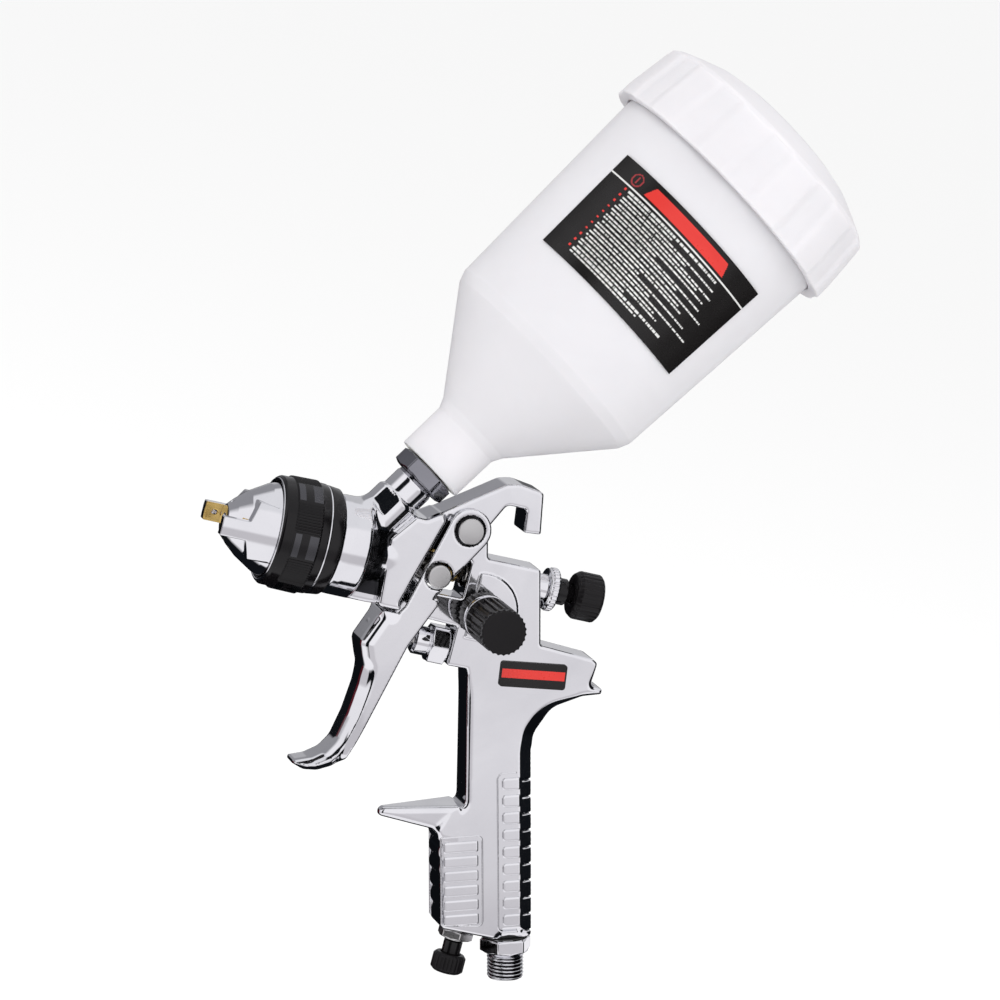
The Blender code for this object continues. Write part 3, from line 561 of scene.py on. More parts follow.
def body_painted_shade(middle):
    """Painted shade for the groove behind the barrel, the gap ahead of the trigger, the window and the
    pivot's seat, where shade and dark reflections fall on the chrome.
    """
    x, y, z = middle.T
    outside = polygon(x, z, SLAB) > -0.25
    groove = (x > -46.5) & (x < -33.0) & (z < 9.5) & (z > -14.5) & (np.hypot(y, z) < 16.4)
    groove &= outside & ((np.abs(y) < 9.0) | (x < -39.0))
    behind = (x + 19.8) * 0.9605 - (z - 17.0) * 0.2767
    gap = (behind > -1.2) & (behind < 4.8) & (z > -20.0) & (z < 17.0) & (np.abs(y) < 8.8)
    window = (x > -35.0) & (x < -5.5) & (z > -5.0) & (z < 7.0) & (np.abs(y) < 7.0)
    seat = (np.hypot(x - PIVOT[0], z - PIVOT[1]) < 6.2) & (np.abs(y) < 8.0)
    return groove | gap | window | seat


# Painted shade on the casting's groove, gap, window and pivot seat.
paint(body, PAINTED_SHADE, body_painted_shade)


# ---------------------------------------------------------------- trigger

def trigger_side():
    """Cheeks, pad and finger blade seen from the side."""
    rear = [(-13.2, -8.4, 2.0), (-17.0, -16.9, 8.0), (-22.3, -29.4, 12.0), (-31.6, -67.0, 8.0),
            (-33.4, -73.6, 5.0)]
    tip = [(-37.0, -77.6, 6.0), (-42.0, -80.2, 6.0), (-47.0, -80.9, 4.0), (-51.6, -79.4, 0.7),
           (-51.2, -78.0, 0.5)]
    blade = [(-46.0, -76.0, 5.0), (-41.4, -72.6, 6.0), (-38.6, -68.0, 8.0), (-36.6, -58.0, 20.0),
             (-35.6, -47.0, 14.0), (-35.8, -40.0, 3.0), (-38.8, -32.4, 0.6), (-38.8, -30.8, 0.6),
             (-34.0, -18.6, 0.6)]
    head = [(-28.6, -18.4, 0.6), (-27.0, -15.8, 0.8)]
    top = arc(PIVOT, 7.8, 160, -32, 24)
    return eased(rear + tip + blade + head) + top


def trigger_core():
    """The space between the cheeks, behind the front wall."""
    return eased([(12.0, 30.0, 0), (-32.0, 30.0, 0), (-30.0, -10.0, 2.0), (-30.6, -19.0, 2.0),
                  (-35.0, -30.6, 1.0), (-32.8, -38.6, 4.0), (-32.2, -47.0, 8.0),
                  (-33.0, -58.0, 8.0), (-34.4, -66.0, 3.0), (-32.0, -72.0, 2.0),
                  (-20.0, -72.0, 0), (12.0, 0.0, 0)])


LEVER, CORE = trigger_side(), trigger_core()


def trigger_field(x, y, z):
    """The trigger: two cheeks joined by a front wall that ends in a finger blade."""
    flat = polygon(x, z, LEVER)
    blade = ramp(-z, 36.0, 44.0)
    front = ramp(-x - 27.0 - (-z - 20.0) * 0.12, -2.0, 3.0)
    edge = 0.4 + front * (3.8 * (1 - blade) * ramp(-z, 17.0, 22.0) + 6.2 * blade)
    outer = layer(flat, y, CHEEK_OUT, edge)
    field = less(outer, layer(polygon(x, z, CORE), y, CHEEK_IN, 0.8), 0.5)
    for axis, radius in ((PIVOT_AXIS, PIVOT_HOLE), (CROSS_AXIS, CROSS_HOLE)):
        field = less(field, round_bar(axis, radius, -13.0, 13.0, x, y, z), 0.4)
    striker = round_bar(VALVE, 3.4, 32.6, 35.8, x, y, z)
    return blend(field, striker, 0.8)


def hole_painted_shade(middle):
    """The walls of the two pin holes, which get painted shade."""
    x, _, z = middle.T
    pivot = np.hypot(x - PIVOT[0], z - PIVOT[1]) < PIVOT_HOLE + 0.25
    return pivot | (np.hypot(x - CROSS_PIN[0], z - CROSS_PIN[1]) < CROSS_HOLE + 0.3)


lever = cast("trigger_lever", trigger_field, (-54.0, -11.0, -83.0), (-1.0, 11.0, 25.5),
             "trigger", CHROME, ("trigger",))
# Painted shade in the trigger's pin holes.
paint(lever, PAINTED_SHADE, hole_painted_shade)


# ---------------------------------------------------------------- turned pieces

def lathe(name, profile, place, body, material, replaces=(), sides=96, shape=None,
          step=0.0):
    """A turned piece from (radius, height, rounding) corners, which ends on its axis or
    comes back up its bore. shape(radius, turn, height) presses flats or ribs into it."""
    outline = np.array(eased([tuple(corner) + (0.2,) * (3 - len(corner)) for corner in profile], 0.2))
    after = np.roll(outline, -1, 0)
    if (outline[:, 0] * after[:, 1] - after[:, 0] * outline[:, 1]).sum() < 0:
        outline = outline[::-1]
    if step:
        dense = []
        for a, b in zip(outline, np.roll(outline, -1, 0)):
            count = max(1, int(np.ceil(np.hypot(*(b - a)) / step)))
            dense += [a + (b - a) * k / count for k in range(count)]
        outline = np.array(dense)
    (u, v, w), origin = axes_of(place)
    turns = np.arange(sides) * 2 * math.pi / sides
    points, rows = [], []
    for radius, height in outline:
        if radius < 1e-6:
            rows.append(np.full(sides, len(points)))
            points.append(origin + w * height)
            continue
        rows.append(np.arange(sides) + len(points))
        out = np.full(sides, radius) if shape is None else shape(radius, turns, height)
        points.extend(origin + np.outer(out * np.cos(turns), u) + np.outer(out * np.sin(turns), v)
                      + w * height)
    faces = []
    for row, above in zip(rows, rows[1:] + rows[:1]):
        for i in range(sides):
            k = (i + 1) % sides
            face = [int(row[i]), int(row[k]), int(above[k]), int(above[i])]
            face = [a for j, a in enumerate(face) if a != face[j - 1]]
            if len(face) > 2:
                faces.append(face)
    return piece(name, points, faces, body, material, replaces)


def flats(width, low, high, turn=0.0):
    """Presses six flats into the heights between low and high."""
    def shape(radius, turns, height):
        if not low - 0.01 <= height <= high + 0.01:
            return np.full(len(turns), radius)
        across = width / 2 / np.cos((turns - turn + math.pi / 6) % (math.pi / 3) - math.pi / 6)
        return np.minimum(radius, across)
    return shape


def ribs(count, depth, inner, outer, low=-1e3, high=1e3, sharp=True):
    """Presses grooves into the rim: sharp crests with round valleys, or narrow grooves.
    They fade in from the inner to the outer radius and lie between low and high."""
    def shape(radius, turns, height):
        wave = np.abs(np.cos(turns * count / 2))
        wave = wave if sharp else wave ** 8
        share = ramp(radius, inner, outer) * (low <= height <= high)
        return radius - depth * share * wave
    return shape


# ---------------------------------------------------------------- grip relief

def grip_relief(side):
    """Raised bars, pads and border lines on one face of the grip."""
    shapes = []
    for k in range(6):
        top = 95.2 + k * 5.35
        shapes.append([(top, -16.4, 0.8), (top, -3.4, 0.8), (top + 4.3, -3.4, 0.8),
                       (top + 4.3, -16.4, 0.8)])
    for k in range(9):
        top = 73.1 + k * 6.27
        shapes.append([(top, 5.4, 1.4), (top, 12.2, 0.5), (top + 4.7, 12.2, 0.5),
                       (top + 4.7, 5.4, 1.4)])
    outlines = [eased(shape) for shape in shapes]
    frames = [eased([(93.6, -17.2, 0.3), (93.6, -2.0, 2.0), (127.2, -2.0, 2.0),
                     (125.6, -17.2, 0.3)]),
              eased([(71.4, 3.8, 2.2), (71.4, 14.0, 0.2), (130.0, 14.0, 0.2), (130.0, 3.8, 2.2)])]

    def field(x, y, z):
        down, rear = along_handle(x, z)
        flat = polygon(down, rear, outlines[0])
        for outline in outlines[1:]:
            flat = np.minimum(flat, polygon(down, rear, outline))
        line = np.minimum(np.abs(polygon(down, rear, frames[0])),
                          np.abs(polygon(down, rear, frames[1]))) - 0.32
        line = np.maximum(line, rear - 11.0)
        base = side * y - BODY_HALF - thicker(down)
        bars = both(flat, np.maximum(base - 0.46, -base - 0.8), 0.7)
        lines = both(line, np.maximum(base - 0.20, -base - 0.8), 0.25)
        return np.minimum(bars, lines)

    inner, outer = sorted((side * 6.0, side * 10.4))
    name = "grip_relief_near" if side < 0 else "grip_relief_far"
    cast(name, field, (5.5, inner, -131.0), (48.0, outer, -66.0), "gun", CHROME,
         cell=0.28)


grip_relief(-1)
grip_relief(1)


# ---------------------------------------------------------------- spray head

CAP_SIDE = eased([
    (2.3, 96.4, 0), (5.6, 96.4, 0.6), (8.4, 93.6, 0.5), (11.9, 89.4, 0.3), (15.9, 82.6, 0.3),
    (16.8, 80.2, 0.2), (16.8, 77.6, 0.1), (18.2, 77.4, 0.2), (18.2, 73.0, 0.2), (13.8, 73.0, 0.2),
    (13.4, 79.0, 1.0), (6.0, 89.6, 0.5), (4.4, 93.2, 0.3), (2.3, 93.2, 0)])
HORN_SIDE = eased([
    (-100.6, 3.4, 0.5), (-91.0, 3.4, 0.4), (-88.2, 10.4, 0.6), (-78.5, 9.6, 0.2),
    (-78.5, -9.6, 0.2), (-88.2, -10.4, 0.6), (-91.0, -3.4, 0.4), (-100.6, -3.4, 0.5)])
HORN_SHELL = [(16.4, 101.5), (16.8, 78.0), (12.2, 78.0), (12.6, 101.5)]


def cap_field(x, y, z):
    """Air cap: a dome with two horns, its air holes drilled."""
    radius = np.sqrt(y * y + z * z)
    cap = polygon(radius, -x, CAP_SIDE)
    horns = both(layer(polygon(x, z, HORN_SIDE), y, 19.0, 0.2),
                 polygon(radius, -x, HORN_SHELL), 0.35)
    field = blend(cap, horns, 0.35)
    for side in (-1, 1):
        for along in (-96.8, -93.4):
            jet = placed((along, side * 12.6, 0), (-0.8, side, 0))
            field = less(field, round_bar(jet, 0.9, -2.5, 2.0, x, y, z, 0.1), 0.15)
        hole = placed((-94.5, 0, side * 7.0), (-1, 0, side * 0.35))
        field = less(field, round_bar(hole, 0.7, -4.0, 4.0, x, y, z, 0.1), 0.15)
    return field


def horn_inside(middle):
    """The inner faces of the horns, ahead of the dome."""
    x, y, z = middle.T
    return (np.hypot(y, z) < 13.1) & (np.abs(y) > 9.0) & (np.abs(z) < 3.3) & (x < -89.6)


cap = cast("cap_casting", cap_field, (-101.2, -18.6, -18.6), (-72.4, 18.6, 18.6), "cap",
           CHROME, ("air_cap",), 0.26)
paint(cap, BRASS, horn_inside)


def ring_shape(radius, turns, height):
    """Six knurled patches on the middle band, with plain pads between them."""
    band = ramp(radius, 19.8, 20.1) * (height > 66.0)
    knurled = ramp(np.cos((turns + 0.56) * 6), -0.25, 0.0)
    wave = np.cos(turns * 60) ** 2
    return radius - band * (0.46 * knurled * wave + 0.10 * knurled)


def ring_painted_highlights(middle):
    """The plain pads on both sides of the middle band, which get a painted highlight."""
    u, v, t = local(AHEAD, *middle.T)
    turns = np.arctan2(v, u)
    rows = ((t > 66.8) & (t < 69.8)) | ((t > 72.8) & (t < 75.0))
    return rows & (np.cos((turns + 0.56) * 6) < -0.3) & (np.hypot(u, v) > 19.9)


ring = lathe("ring_body", [
    (17.2, 80.0), (18.8, 80.0, 0.4), (19.5, 79.0, 0.5), (19.6, 75.6, 0.1), (20.3, 75.2),
    (20.36, 72.8, 0), (20.42, 69.8, 0), (20.5, 66.4), (19.8, 65.8), (19.7, 63.1),
    (19.2, 62.9, 0.1), (19.2, 62.3, 0.1), (19.5, 62.1, 0.3), (19.0, 57.8, 0.4), (15.8, 57.8),
    (15.8, 68.6), (18.6, 68.6), (18.6, 77.8), (17.2, 77.8)],
    AHEAD, "ring", ANODISED, ("air_cap_ring",), 720, ring_shape)
# Painted highlight on the ring's plain pads.
paint(ring, PAINTED_HIGHLIGHT, ring_painted_highlights)
lathe("ring_rear_line", [(19.45, 62.85, 0.1), (19.45, 62.3, 0.1), (18.9, 62.3, 0), (18.9, 62.85, 0)],
      AHEAD, "ring", CHROME, sides=144)
lathe("ring_front_lip", [(17.8, 80.3, 0.3), (18.6, 80.3, 0.3), (18.6, 79.0, 0), (17.8, 79.0, 0)],
      AHEAD, "ring", CHROME, sides=144)
lathe("nozzle", [
    (1.3, 96.0, 0.1), (1.8, 96.0), (1.9, 92.8), (3.4, 89.6), (6.0, 82.6), (8.6, 78.4), (8.6, 72.0),
    (5.2, 71.6), (5.2, 54.6), (3.0, 54.6), (3.0, 84.0), (1.3, 92.0, 0)],
    AHEAD, "gun", STEEL, ("fluid_nozzle",), 72)
lathe("baffle", [(14.9, 69.8), (14.9, 67.8), (5.6, 67.8), (5.6, 69.8)], AHEAD, "gun", BRASS,
      ("air_baffle",), 72)


# ---------------------------------------------------------------- fluid needle

lathe("needle", [
    (0, 95.8, 0), (0.5, 95.6, 0.1), (1.0, 94.4, 0), (1.0, 89.0, 0), (2.0, 81.0, 0), (2.0, -15.6, 0),
    (1.6, -16.0, 0), (0, -16.0, 0)], AHEAD, "needle", STEEL, ("fluid_needle",), 40)
lathe("needle_stop", [(4.3, 13.0), (4.7, 12.6), (4.7, 9.6), (4.3, 9.2), (2.2, 9.2), (2.2, 13.0)],
      AHEAD, "needle", BRASS, ("needle_collar",), 72)
lathe("packing_nut", [
    (4.1, 33.0), (4.1, 28.4, 0.1), (4.55, 28.0, 0.1), (4.55, 24.8, 0.1),
    (4.1, 24.4, 0.1), (3.4, 23.8), (2.4, 23.8), (2.4, 33.0)], AHEAD, "gun", STEEL,
    ("needle_packing_nut",), 72, flats(8.0, 24.5, 28.3))
lathe("fluid_bush", [
    (3.0, 28.0), (7.3, 28.0, 0.4), (7.9, 27.4, 0.2), (7.9, 25.6, 0.3), (7.3, 25.2, 0.2),
    (7.3, 24.7, 0.2), (7.5, 24.2), (4.9, 24.2), (4.9, 13.6), (3.0, 13.6)], AFT, "gun",
    CHROME, ("fluid_control_bush",), 256, ribs(32, 0.42, 7.3, 7.8, 25.3, 28.0))
lathe("fluid_stem", [
    (0, 41.0), (3.2, 41.0), (3.2, 32.4), (4.8, 32.0, 0.3), (4.8, 28.4, 0.3), (2.6, 28.4), (2.6, 22.2),
    (0, 22.2)], AFT, "fluid_screw", ANODISED, ("fluid_knob_spindle",), 64)
lathe("fluid_grip", [
    (0, 44.8, 0), (7.6, 44.8, 0.5), (8.7, 43.8, 0.6), (8.7, 36.6, 0.8), (7.4, 34.7, 0.8),
    (3.6, 34.6), (3.6, 41.4), (0, 41.4, 0)], AFT, "fluid_grip", BLACK,
    ("fluid_knob",), 384, ribs(24, 0.28, 7.8, 8.6, sharp=False))


# ---------------------------------------------------------------- trigger pins

lathe("pivot_pin", [
    (0, 11.4, 0), (4.5, 11.4, 0.3), (4.7, 11.1, 0.1), (4.7, 7.9), (2.9, 7.9), (2.9, -9.9),
    (2.1, -9.9), (2.1, -10.9), (2.9, -10.9), (2.9, -11.8), (0, -11.8, 0)], PIVOT_AXIS, "gun",
    SATIN, ("trigger_pivot_pin",), 96)


def cross_pin_field(x, y, z):
    """The cross pin, hollowed in the middle to straddle the needle."""
    u, v, t = local(CROSS_AXIS, x, y, z)
    radius = np.sqrt(u * u + v * v)
    drum = layer(radius - 4.2, t + 0.2, 11.4, 0.3)
    drum = less(drum, np.maximum(np.abs(t + 10.4) - 0.5, 3.0 - radius), 0.15)
    saddle = np.maximum(np.maximum(np.abs(y) - 2.6, -2.7 - z), np.abs(x - CROSS_PIN[0]) - 6)
    return less(drum, saddle, 0.2)


cast("cross_pin", cross_pin_field, (-22.4, -11.8, -7.0), (-13.0, 12.0, 2.2), "trigger",
     SATIN, ("trigger_cross_pin",), 0.3)


# ---------------------------------------------------------------- air controls

lathe("valve_nut", [
    (4.4, 18.8), (5.2, 18.0, 0.3), (5.2, 13.6, 0.1), (4.6, 13.3, 0.1), (4.6, 12.8, 0),
    (6.5, 12.8, 0.05), (7.4, 12.3, 0.1), (7.4, 6.7, 0.1), (6.5, 6.2, 0.05), (4.3, 6.2, 0.1),
    (4.3, -1.5), (2.1, -1.5), (2.1, 18.8)], VALVE, "gun", CHROME,
    ("air_valve_nut",), 180, flats(13.0, 6.2, 12.8, math.pi / 6))
lathe("valve_stem", [
    (0, 32.2, 0), (1.3, 31.9), (1.7, 31.2), (1.7, -2.4), (3.9, -2.4), (3.9, -5.4), (0, -5.4, 0)],
    VALVE, "air_stem", STEEL, ("air_valve_stem",), 48)

lathe("fan_bush", [
    (3.0, 17.2), (7.8, 17.2, 0.3), (8.4, 16.6, 0.2), (8.4, 10.4, 0.4), (7.6, 9.6, 0.3),
    (6.0, 9.4), (6.0, 7.8), (4.4, 7.7), (4.4, 1.0), (3.0, 1.0)], FAN, "gun",
    BLACK, ("fan_valve_bush",), 288, ribs(26, 0.7, 7.4, 8.2, 9.8, 17.0))
lathe("fan_washer", [(8.2, 19.8, 0.3), (8.3, 17.5, 0.3), (3.0, 17.5), (3.0, 19.8)], FAN, "gun",
      CHROME, ("fan_valve_ring",), 96)
lathe("fan_stem", [
    (0, 37.0, 0), (2.6, 37.0), (2.6, -2.2), (3.8, -2.6), (3.8, -4.8), (0, -4.8, 0)], FAN,
    "fan_screw", STEEL, ("fan_valve_spindle",), 48)


def fan_ribs(radius, turns, height):
    """Fine scallops at the outer rim and wide grooves down the side."""
    share = ramp(radius, 7.5, 8.2)
    fine = np.abs(np.cos(turns * 13))
    wide = ramp(np.abs(np.cos(turns * 10)), 0.30, 0.72)
    rim = ramp(height, 39.4, 40.0)
    return radius - share * (0.42 * fine * rim + 0.95 * wide * (1 - rim) * (height > 22.0))


lathe("fan_grip", [
    (0, 42.0, 0), (7.7, 42.0, 0.3), (8.3, 41.5, 0.2), (8.3, 20.6, 0.2), (7.8, 20.1, 0.2),
    (3.0, 20.1), (3.0, 37.4), (0, 37.4, 0)], FAN, "fan_grip", BLACK, ("fan_knob",),
    416, fan_ribs, 0.5)


# ---------------------------------------------------------------- handle fittings

def thread(pitch, depth, low, high):
    """Winds a thread groove into the heights between low and high."""
    def shape(radius, turns, height):
        phase = ((height / pitch + turns / (2 * math.pi)) % 1.0) * 2 - 1
        share = ramp(height, low - 0.3, low + 0.5) * (1 - ramp(height, high - 0.5, high + 0.3))
        share = share * (radius > 6.2)
        return radius - depth * share * (0.5 + 0.5 * np.cos(phase * math.pi))
    return shape


def thread_painted_shade(middle):
    """The roots of the inlet's thread, which get painted shade."""
    u, v, t = local(INLET, *middle.T)
    return (t > 7.8) & (t < 15.2) & (np.hypot(u, v) < 6.2) & (np.hypot(u, v) > 5.2)


nipple = lathe("inlet_nipple", [
    (4.6, 16.0, 0.2), (6.0, 16.0, 0.2), (6.58, 15.3, 0), (6.58, 7.6, 0), (5.6, 6.8, 0.2),
    (5.6, 5.0, 0), (5.6, -9.0), (4.0, -9.0), (4.0, 15.4, 0.2)], INLET, "gun", CHROME,
    ("air_inlet_connector",), 96, thread(1.337, 0.72, 7.8, 15.6), 0.08)
# Painted shade in the thread's roots.
paint(nipple, PAINTED_SHADE, thread_painted_shade)
lathe("inlet_hex", [
    (8.2, 6.0, 0.05), (9.4, 5.3, 0.1), (9.4, 1.6, 0.1), (8.2, 0.9, 0.05), (5.0, 0.9, 0), (5.0, 6.0, 0)],
    INLET, "gun", CHROME, (), 180, flats(16.4, 0.9, 6.0))
lathe("adjust_hex", [
    (5.7, 3.4, 0.05), (6.5, 2.9, 0.1), (6.5, 0.9, 0.1), (5.7, 0.4, 0.05), (3.3, 0.4, 0),
    (3.3, -9.0), (2.2, -9.0), (2.2, 4.0), (4.2, 4.0), (4.2, 3.4, 0)], ADJUST, "gun", SATIN,
    ("air_adjust_nut",), 180, flats(11.4, 0.4, 3.4))
lathe("adjust_stem", [
    (0, 14.0, 0), (3.4, 14.0), (3.4, 4.6, 0.3), (1.9, 4.4), (1.9, -13.0, 0), (0, -14.6, 0)], ADJUST,
    "adjust_screw", ANODISED, ("air_adjust_spindle",), 64)
lathe("adjust_grip", [
    (0, 16.4, 0), (4.6, 16.4, 1.4), (6.0, 15.2, 0.8), (6.0, 10.4, 0.6), (5.0, 9.3, 0.5), (3.8, 9.2),
    (3.8, 14.4), (0, 14.4, 0)], ADJUST, "adjust_grip", BLACK,
    ("air_adjust_knob",), 240, ribs(20, 0.22, 5.2, 5.9, sharp=False))


# ---------------------------------------------------------------- cup

lathe("cup_fitting", [
    (6.4, 51.8), (8.0, 51.4), (8.0, 39.3, 0), (9.8, 39.2, 0.05), (11.2, 38.6, 0.1),
    (11.2, 33.8, 0.1), (9.8, 33.2, 0.05), (6.4, 33.2, 0), (6.4, 20.0), (4.4, 20.0), (4.4, 51.8)],
    CUP, "cup", DARK_CHROME, ("cup_connector",), 180,
    flats(19.6, 33.1, 39.25, math.radians(-18)))
lathe("cup_washer", [(12.2, 40.5), (12.2, 39.5), (8.4, 39.5), (8.4, 40.5)], CUP, "cup",
      PTFE, ("cup_seal_washer",), 96)
lathe("cup_shell", [
    (43.6, 199.0, 0.4), (45.4, 199.0, 0.4), (45.4, 177.0, 0), (42.3, 97.0, 3.0), (40.7, 93.0, 3.0),
    (15.0, 60.6, 4.0), (13.3, 57.0, 2.0), (13.2, 39.5, 0.5), (12.3, 39.5, 0.1),
    (12.3, 40.8, 0.1), (8.5, 40.8), (8.5, 54.0, 1.0), (12.6, 61.4, 3.0), (39.1, 94.4, 3.0),
    (40.5, 98.0, 3.0), (43.6, 177.0, 0)], CUP, "cup", PLASTIC, ("cup_body",), 160,
    None, 4.0)


def strainer_slots(radius, turns, height):
    """Sixteen slots pressed into the strainer's wall."""
    pressed = (height > 44) * (height < 64) * (radius > 3.3)
    return radius - 0.25 * pressed * (np.cos(turns * 16) > 0)


lathe("strainer", [
    (0, 66.0, 0), (3.2, 65.6, 0.6), (3.8, 52.6), (3.8, 41.0), (3.0, 41.0), (3.0, 64.0), (0, 65.0, 0)],
    CUP, "cup", PLASTIC, ("cup_filter",), 128, strainer_slots, 0.6)
lathe("gasket", [(45.6, 200.9), (45.6, 199.3), (36.0, 199.3), (36.0, 200.9)], CUP, "lid",
      PLASTIC, ("lid_gasket",), 128)


def lid_shape(radius, turns, height):
    """Wide grip lobes round the skirt, which fade out towards the top."""
    lobe = ramp(np.cos(turns * 12), -0.60, 0.30)
    share = ramp(radius, 47.6, 48.6) * (1 - ramp(height, 203.0, 205.0))
    return radius - 1.0 * share * (1 - lobe)


lathe("lid_shell", [
    (3.2, 213.0), (26.0, 213.0, 4.0), (33.0, 211.4, 6.0), (40.0, 208.4, 6.0), (46.4, 205.4, 2.4),
    (48.8, 203.4, 1.6), (50.6, 187.0, 2.0), (50.8, 180.4, 0.6), (46.2, 180.4), (46.0, 201.2, 1.0),
    (42.0, 203.4, 2.0), (32.0, 208.6, 2.0), (25.0, 210.8, 2.0), (3.2, 210.8)], CUP, "lid",
    PLASTIC, ("cup_lid",), 288, lid_shape, 2.0)
lathe("vent_plug", [
    (0, 215.2, 0), (4.2, 215.2, 0.5), (5.2, 214.4, 0.4), (5.2, 213.3), (2.8, 213.3), (2.8, 208.6),
    (0, 208.6, 0)], CUP, "vent", PLASTIC, ("lid_vent_plug",), 64)


# ---------------------------------------------------------------- printed plates

def sheet_mesh(name, columns, rows, inks, point, thickness, body, replaces):
    """A thin printed sheet: a grid of cells with an ink number each. point(u, v, out) gives
    a place in the gun frame, and inks is an array of rows by columns."""
    nu, nv = len(columns), len(rows)
    front = [point(u, v, thickness) for v in rows for u in columns]
    back = [point(u, v, 0.0) for v in rows for u in columns]
    faces, index = [], []
    size = nu * nv
    for j in range(nv - 1):
        for i in range(nu - 1):
            a = j * nu + i
            faces.append([a, a + 1, a + nu + 1, a + nu])
            index.append(int(inks[j, i]))
            faces.append([size + a + nu, size + a + nu + 1, size + a + 1, size + a])
            index.append(0)
    edge = ([j * nu for j in range(nv)], [j * nu + nu - 1 for j in range(nv)],
            list(range(nu)), [(nv - 1) * nu + i for i in range(nu)])
    for number, line in enumerate(edge):
        for a, b in zip(line, line[1:]):
            face = [a, b, size + b, size + a]
            faces.append(face if number in (0, 3) else face[::-1])
            index.append(0)
    thing = piece(name, front + back, faces, body, INKS[0], replaces)
    for ink in INKS[1:]:
        thing.data.materials.append(ink)
    thing.data.polygons.foreach_set("material_index", np.array(index, np.int32))
    return thing


def cup_print():
    """The cup's label: a title band with a red stripe above ruled lines of dashes."""
    low, high, middle, span = 121.5, 163.4, math.radians(165.0), math.radians(94.5)
    (u_axis, v_axis, w_axis), origin = axes_of(CUP)
    columns = np.linspace(0.0, 1.0, 241)
    rows = np.linspace(0.0, 1.0, 141)

    def point(u, v, out):
        height = low + (high - low) * v
        radius = 42.3 + 3.1 * (height - 97.0) / 80.0 + 0.3 + out
        angle = middle + span * (0.5 - u)
        return origin + radius * (math.cos(angle) * u_axis + math.sin(angle) * v_axis) \
            + height * w_axis

    u, v = np.meshgrid((columns[1:] + columns[:-1]) / 2, (rows[1:] + rows[:-1]) / 2)
    inks = np.zeros(u.shape, int)
    inks[np.abs(v - 0.812) < 0.006] = 1
    slant = (v - 0.905) * 0.25
    inks[(v > 0.845) & (v < 0.955) & (u > 0.24 + slant) & (u < 0.76 - slant)] = 2
    mark = np.hypot((u - 0.15) * 72.0, (v - 0.895) * 41.9)
    inks[np.abs(mark - 2.2) < 0.28] = 3
    inks[(mark < 1.3) & (np.abs(u - 0.15) < 0.006)] = 3
    chance = np.random.default_rng(7)
    for k in range(22):
        height = 0.775 - k * 0.0325
        start = 0.16 + 0.012 * (k % 3 == 1)
        longest = (0.66, 0.60, 0.74, 0.52, 0.70, 0.34)[(k * 5) % 6]
        end = start + longest * (0.82 + 0.18 * chance.random())
        line = (np.abs(v - height) < 0.0072) & (u > start) & (u < min(end, 0.93))
        gap, here = np.zeros(u.shape, bool), start
        while here < end:
            here += 0.010 + 0.030 * chance.random()
            gap |= np.abs(u - here) < 0.0024
        inks[line & ~gap] = 1
        if k % 2 == 0:
            inks[(np.abs(v - height) < 0.009) & (np.abs(u - 0.135) < 0.005)] = 2
    sheet_mesh("cup_print", columns, rows, inks[:, ::-1], point, 0.3, "cup",
               ("cup_label",))


def badge_print():
    """The badge: black with a red stripe, its corners rounded."""
    length, height, tilt = 24.6, 9.2, math.radians(7.8)
    columns, rows = np.linspace(-0.5, 0.5, 83), np.linspace(-0.5, 0.5, 32)

    def point(u, v, out):
        dx, dz = u * length, v * height
        reach = np.hypot(max(abs(dx) - length / 2 + 1.1, 0), max(abs(dz) - height / 2 + 1.1, 0))
        if reach > 1.1 and abs(dx) > length / 2 - 1.1 and abs(dz) > height / 2 - 1.1:
            pull = 1.1 / reach
            dx = math.copysign(length / 2 - 1.1 + (abs(dx) - length / 2 + 1.1) * pull, dx)
            dz = math.copysign(height / 2 - 1.1 + (abs(dz) - height / 2 + 1.1) * pull, dz)
        return np.array((26.0 + dx * math.cos(tilt) - dz * math.sin(tilt),
                         -BODY_HALF - 0.3 - out, -30.5 + dx * math.sin(tilt) + dz * math.cos(tilt)))

    u, v = np.meshgrid((columns[1:] + columns[:-1]) / 2, (rows[1:] + rows[:-1]) / 2)
    inks = np.zeros(u.shape, int)
    inks[(np.abs(v - 0.03) < 0.19) & (np.abs(u) < 0.47)] = 2
    sheet_mesh("badge_print", columns, rows, inks, point, 0.5, "gun", ("body_badge",))


cup_print()
badge_print()


# ---------------------------------------------------------------- plain CAD pieces

for node, material in (
        ("cap_snap_ring", STEEL), ("needle_packing_seal", PTFE), ("needle_spring", STEEL),
        ("trigger_pivot_clip", STEEL), ("cross_pin_clip", STEEL), ("air_valve_spring", STEEL),
        ("air_valve_seal", RUBBER), ("air_inlet_washer", RUBBER)):
    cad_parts[node].data.materials[0] = material


# ---------------------------------------------------------------- camera and light

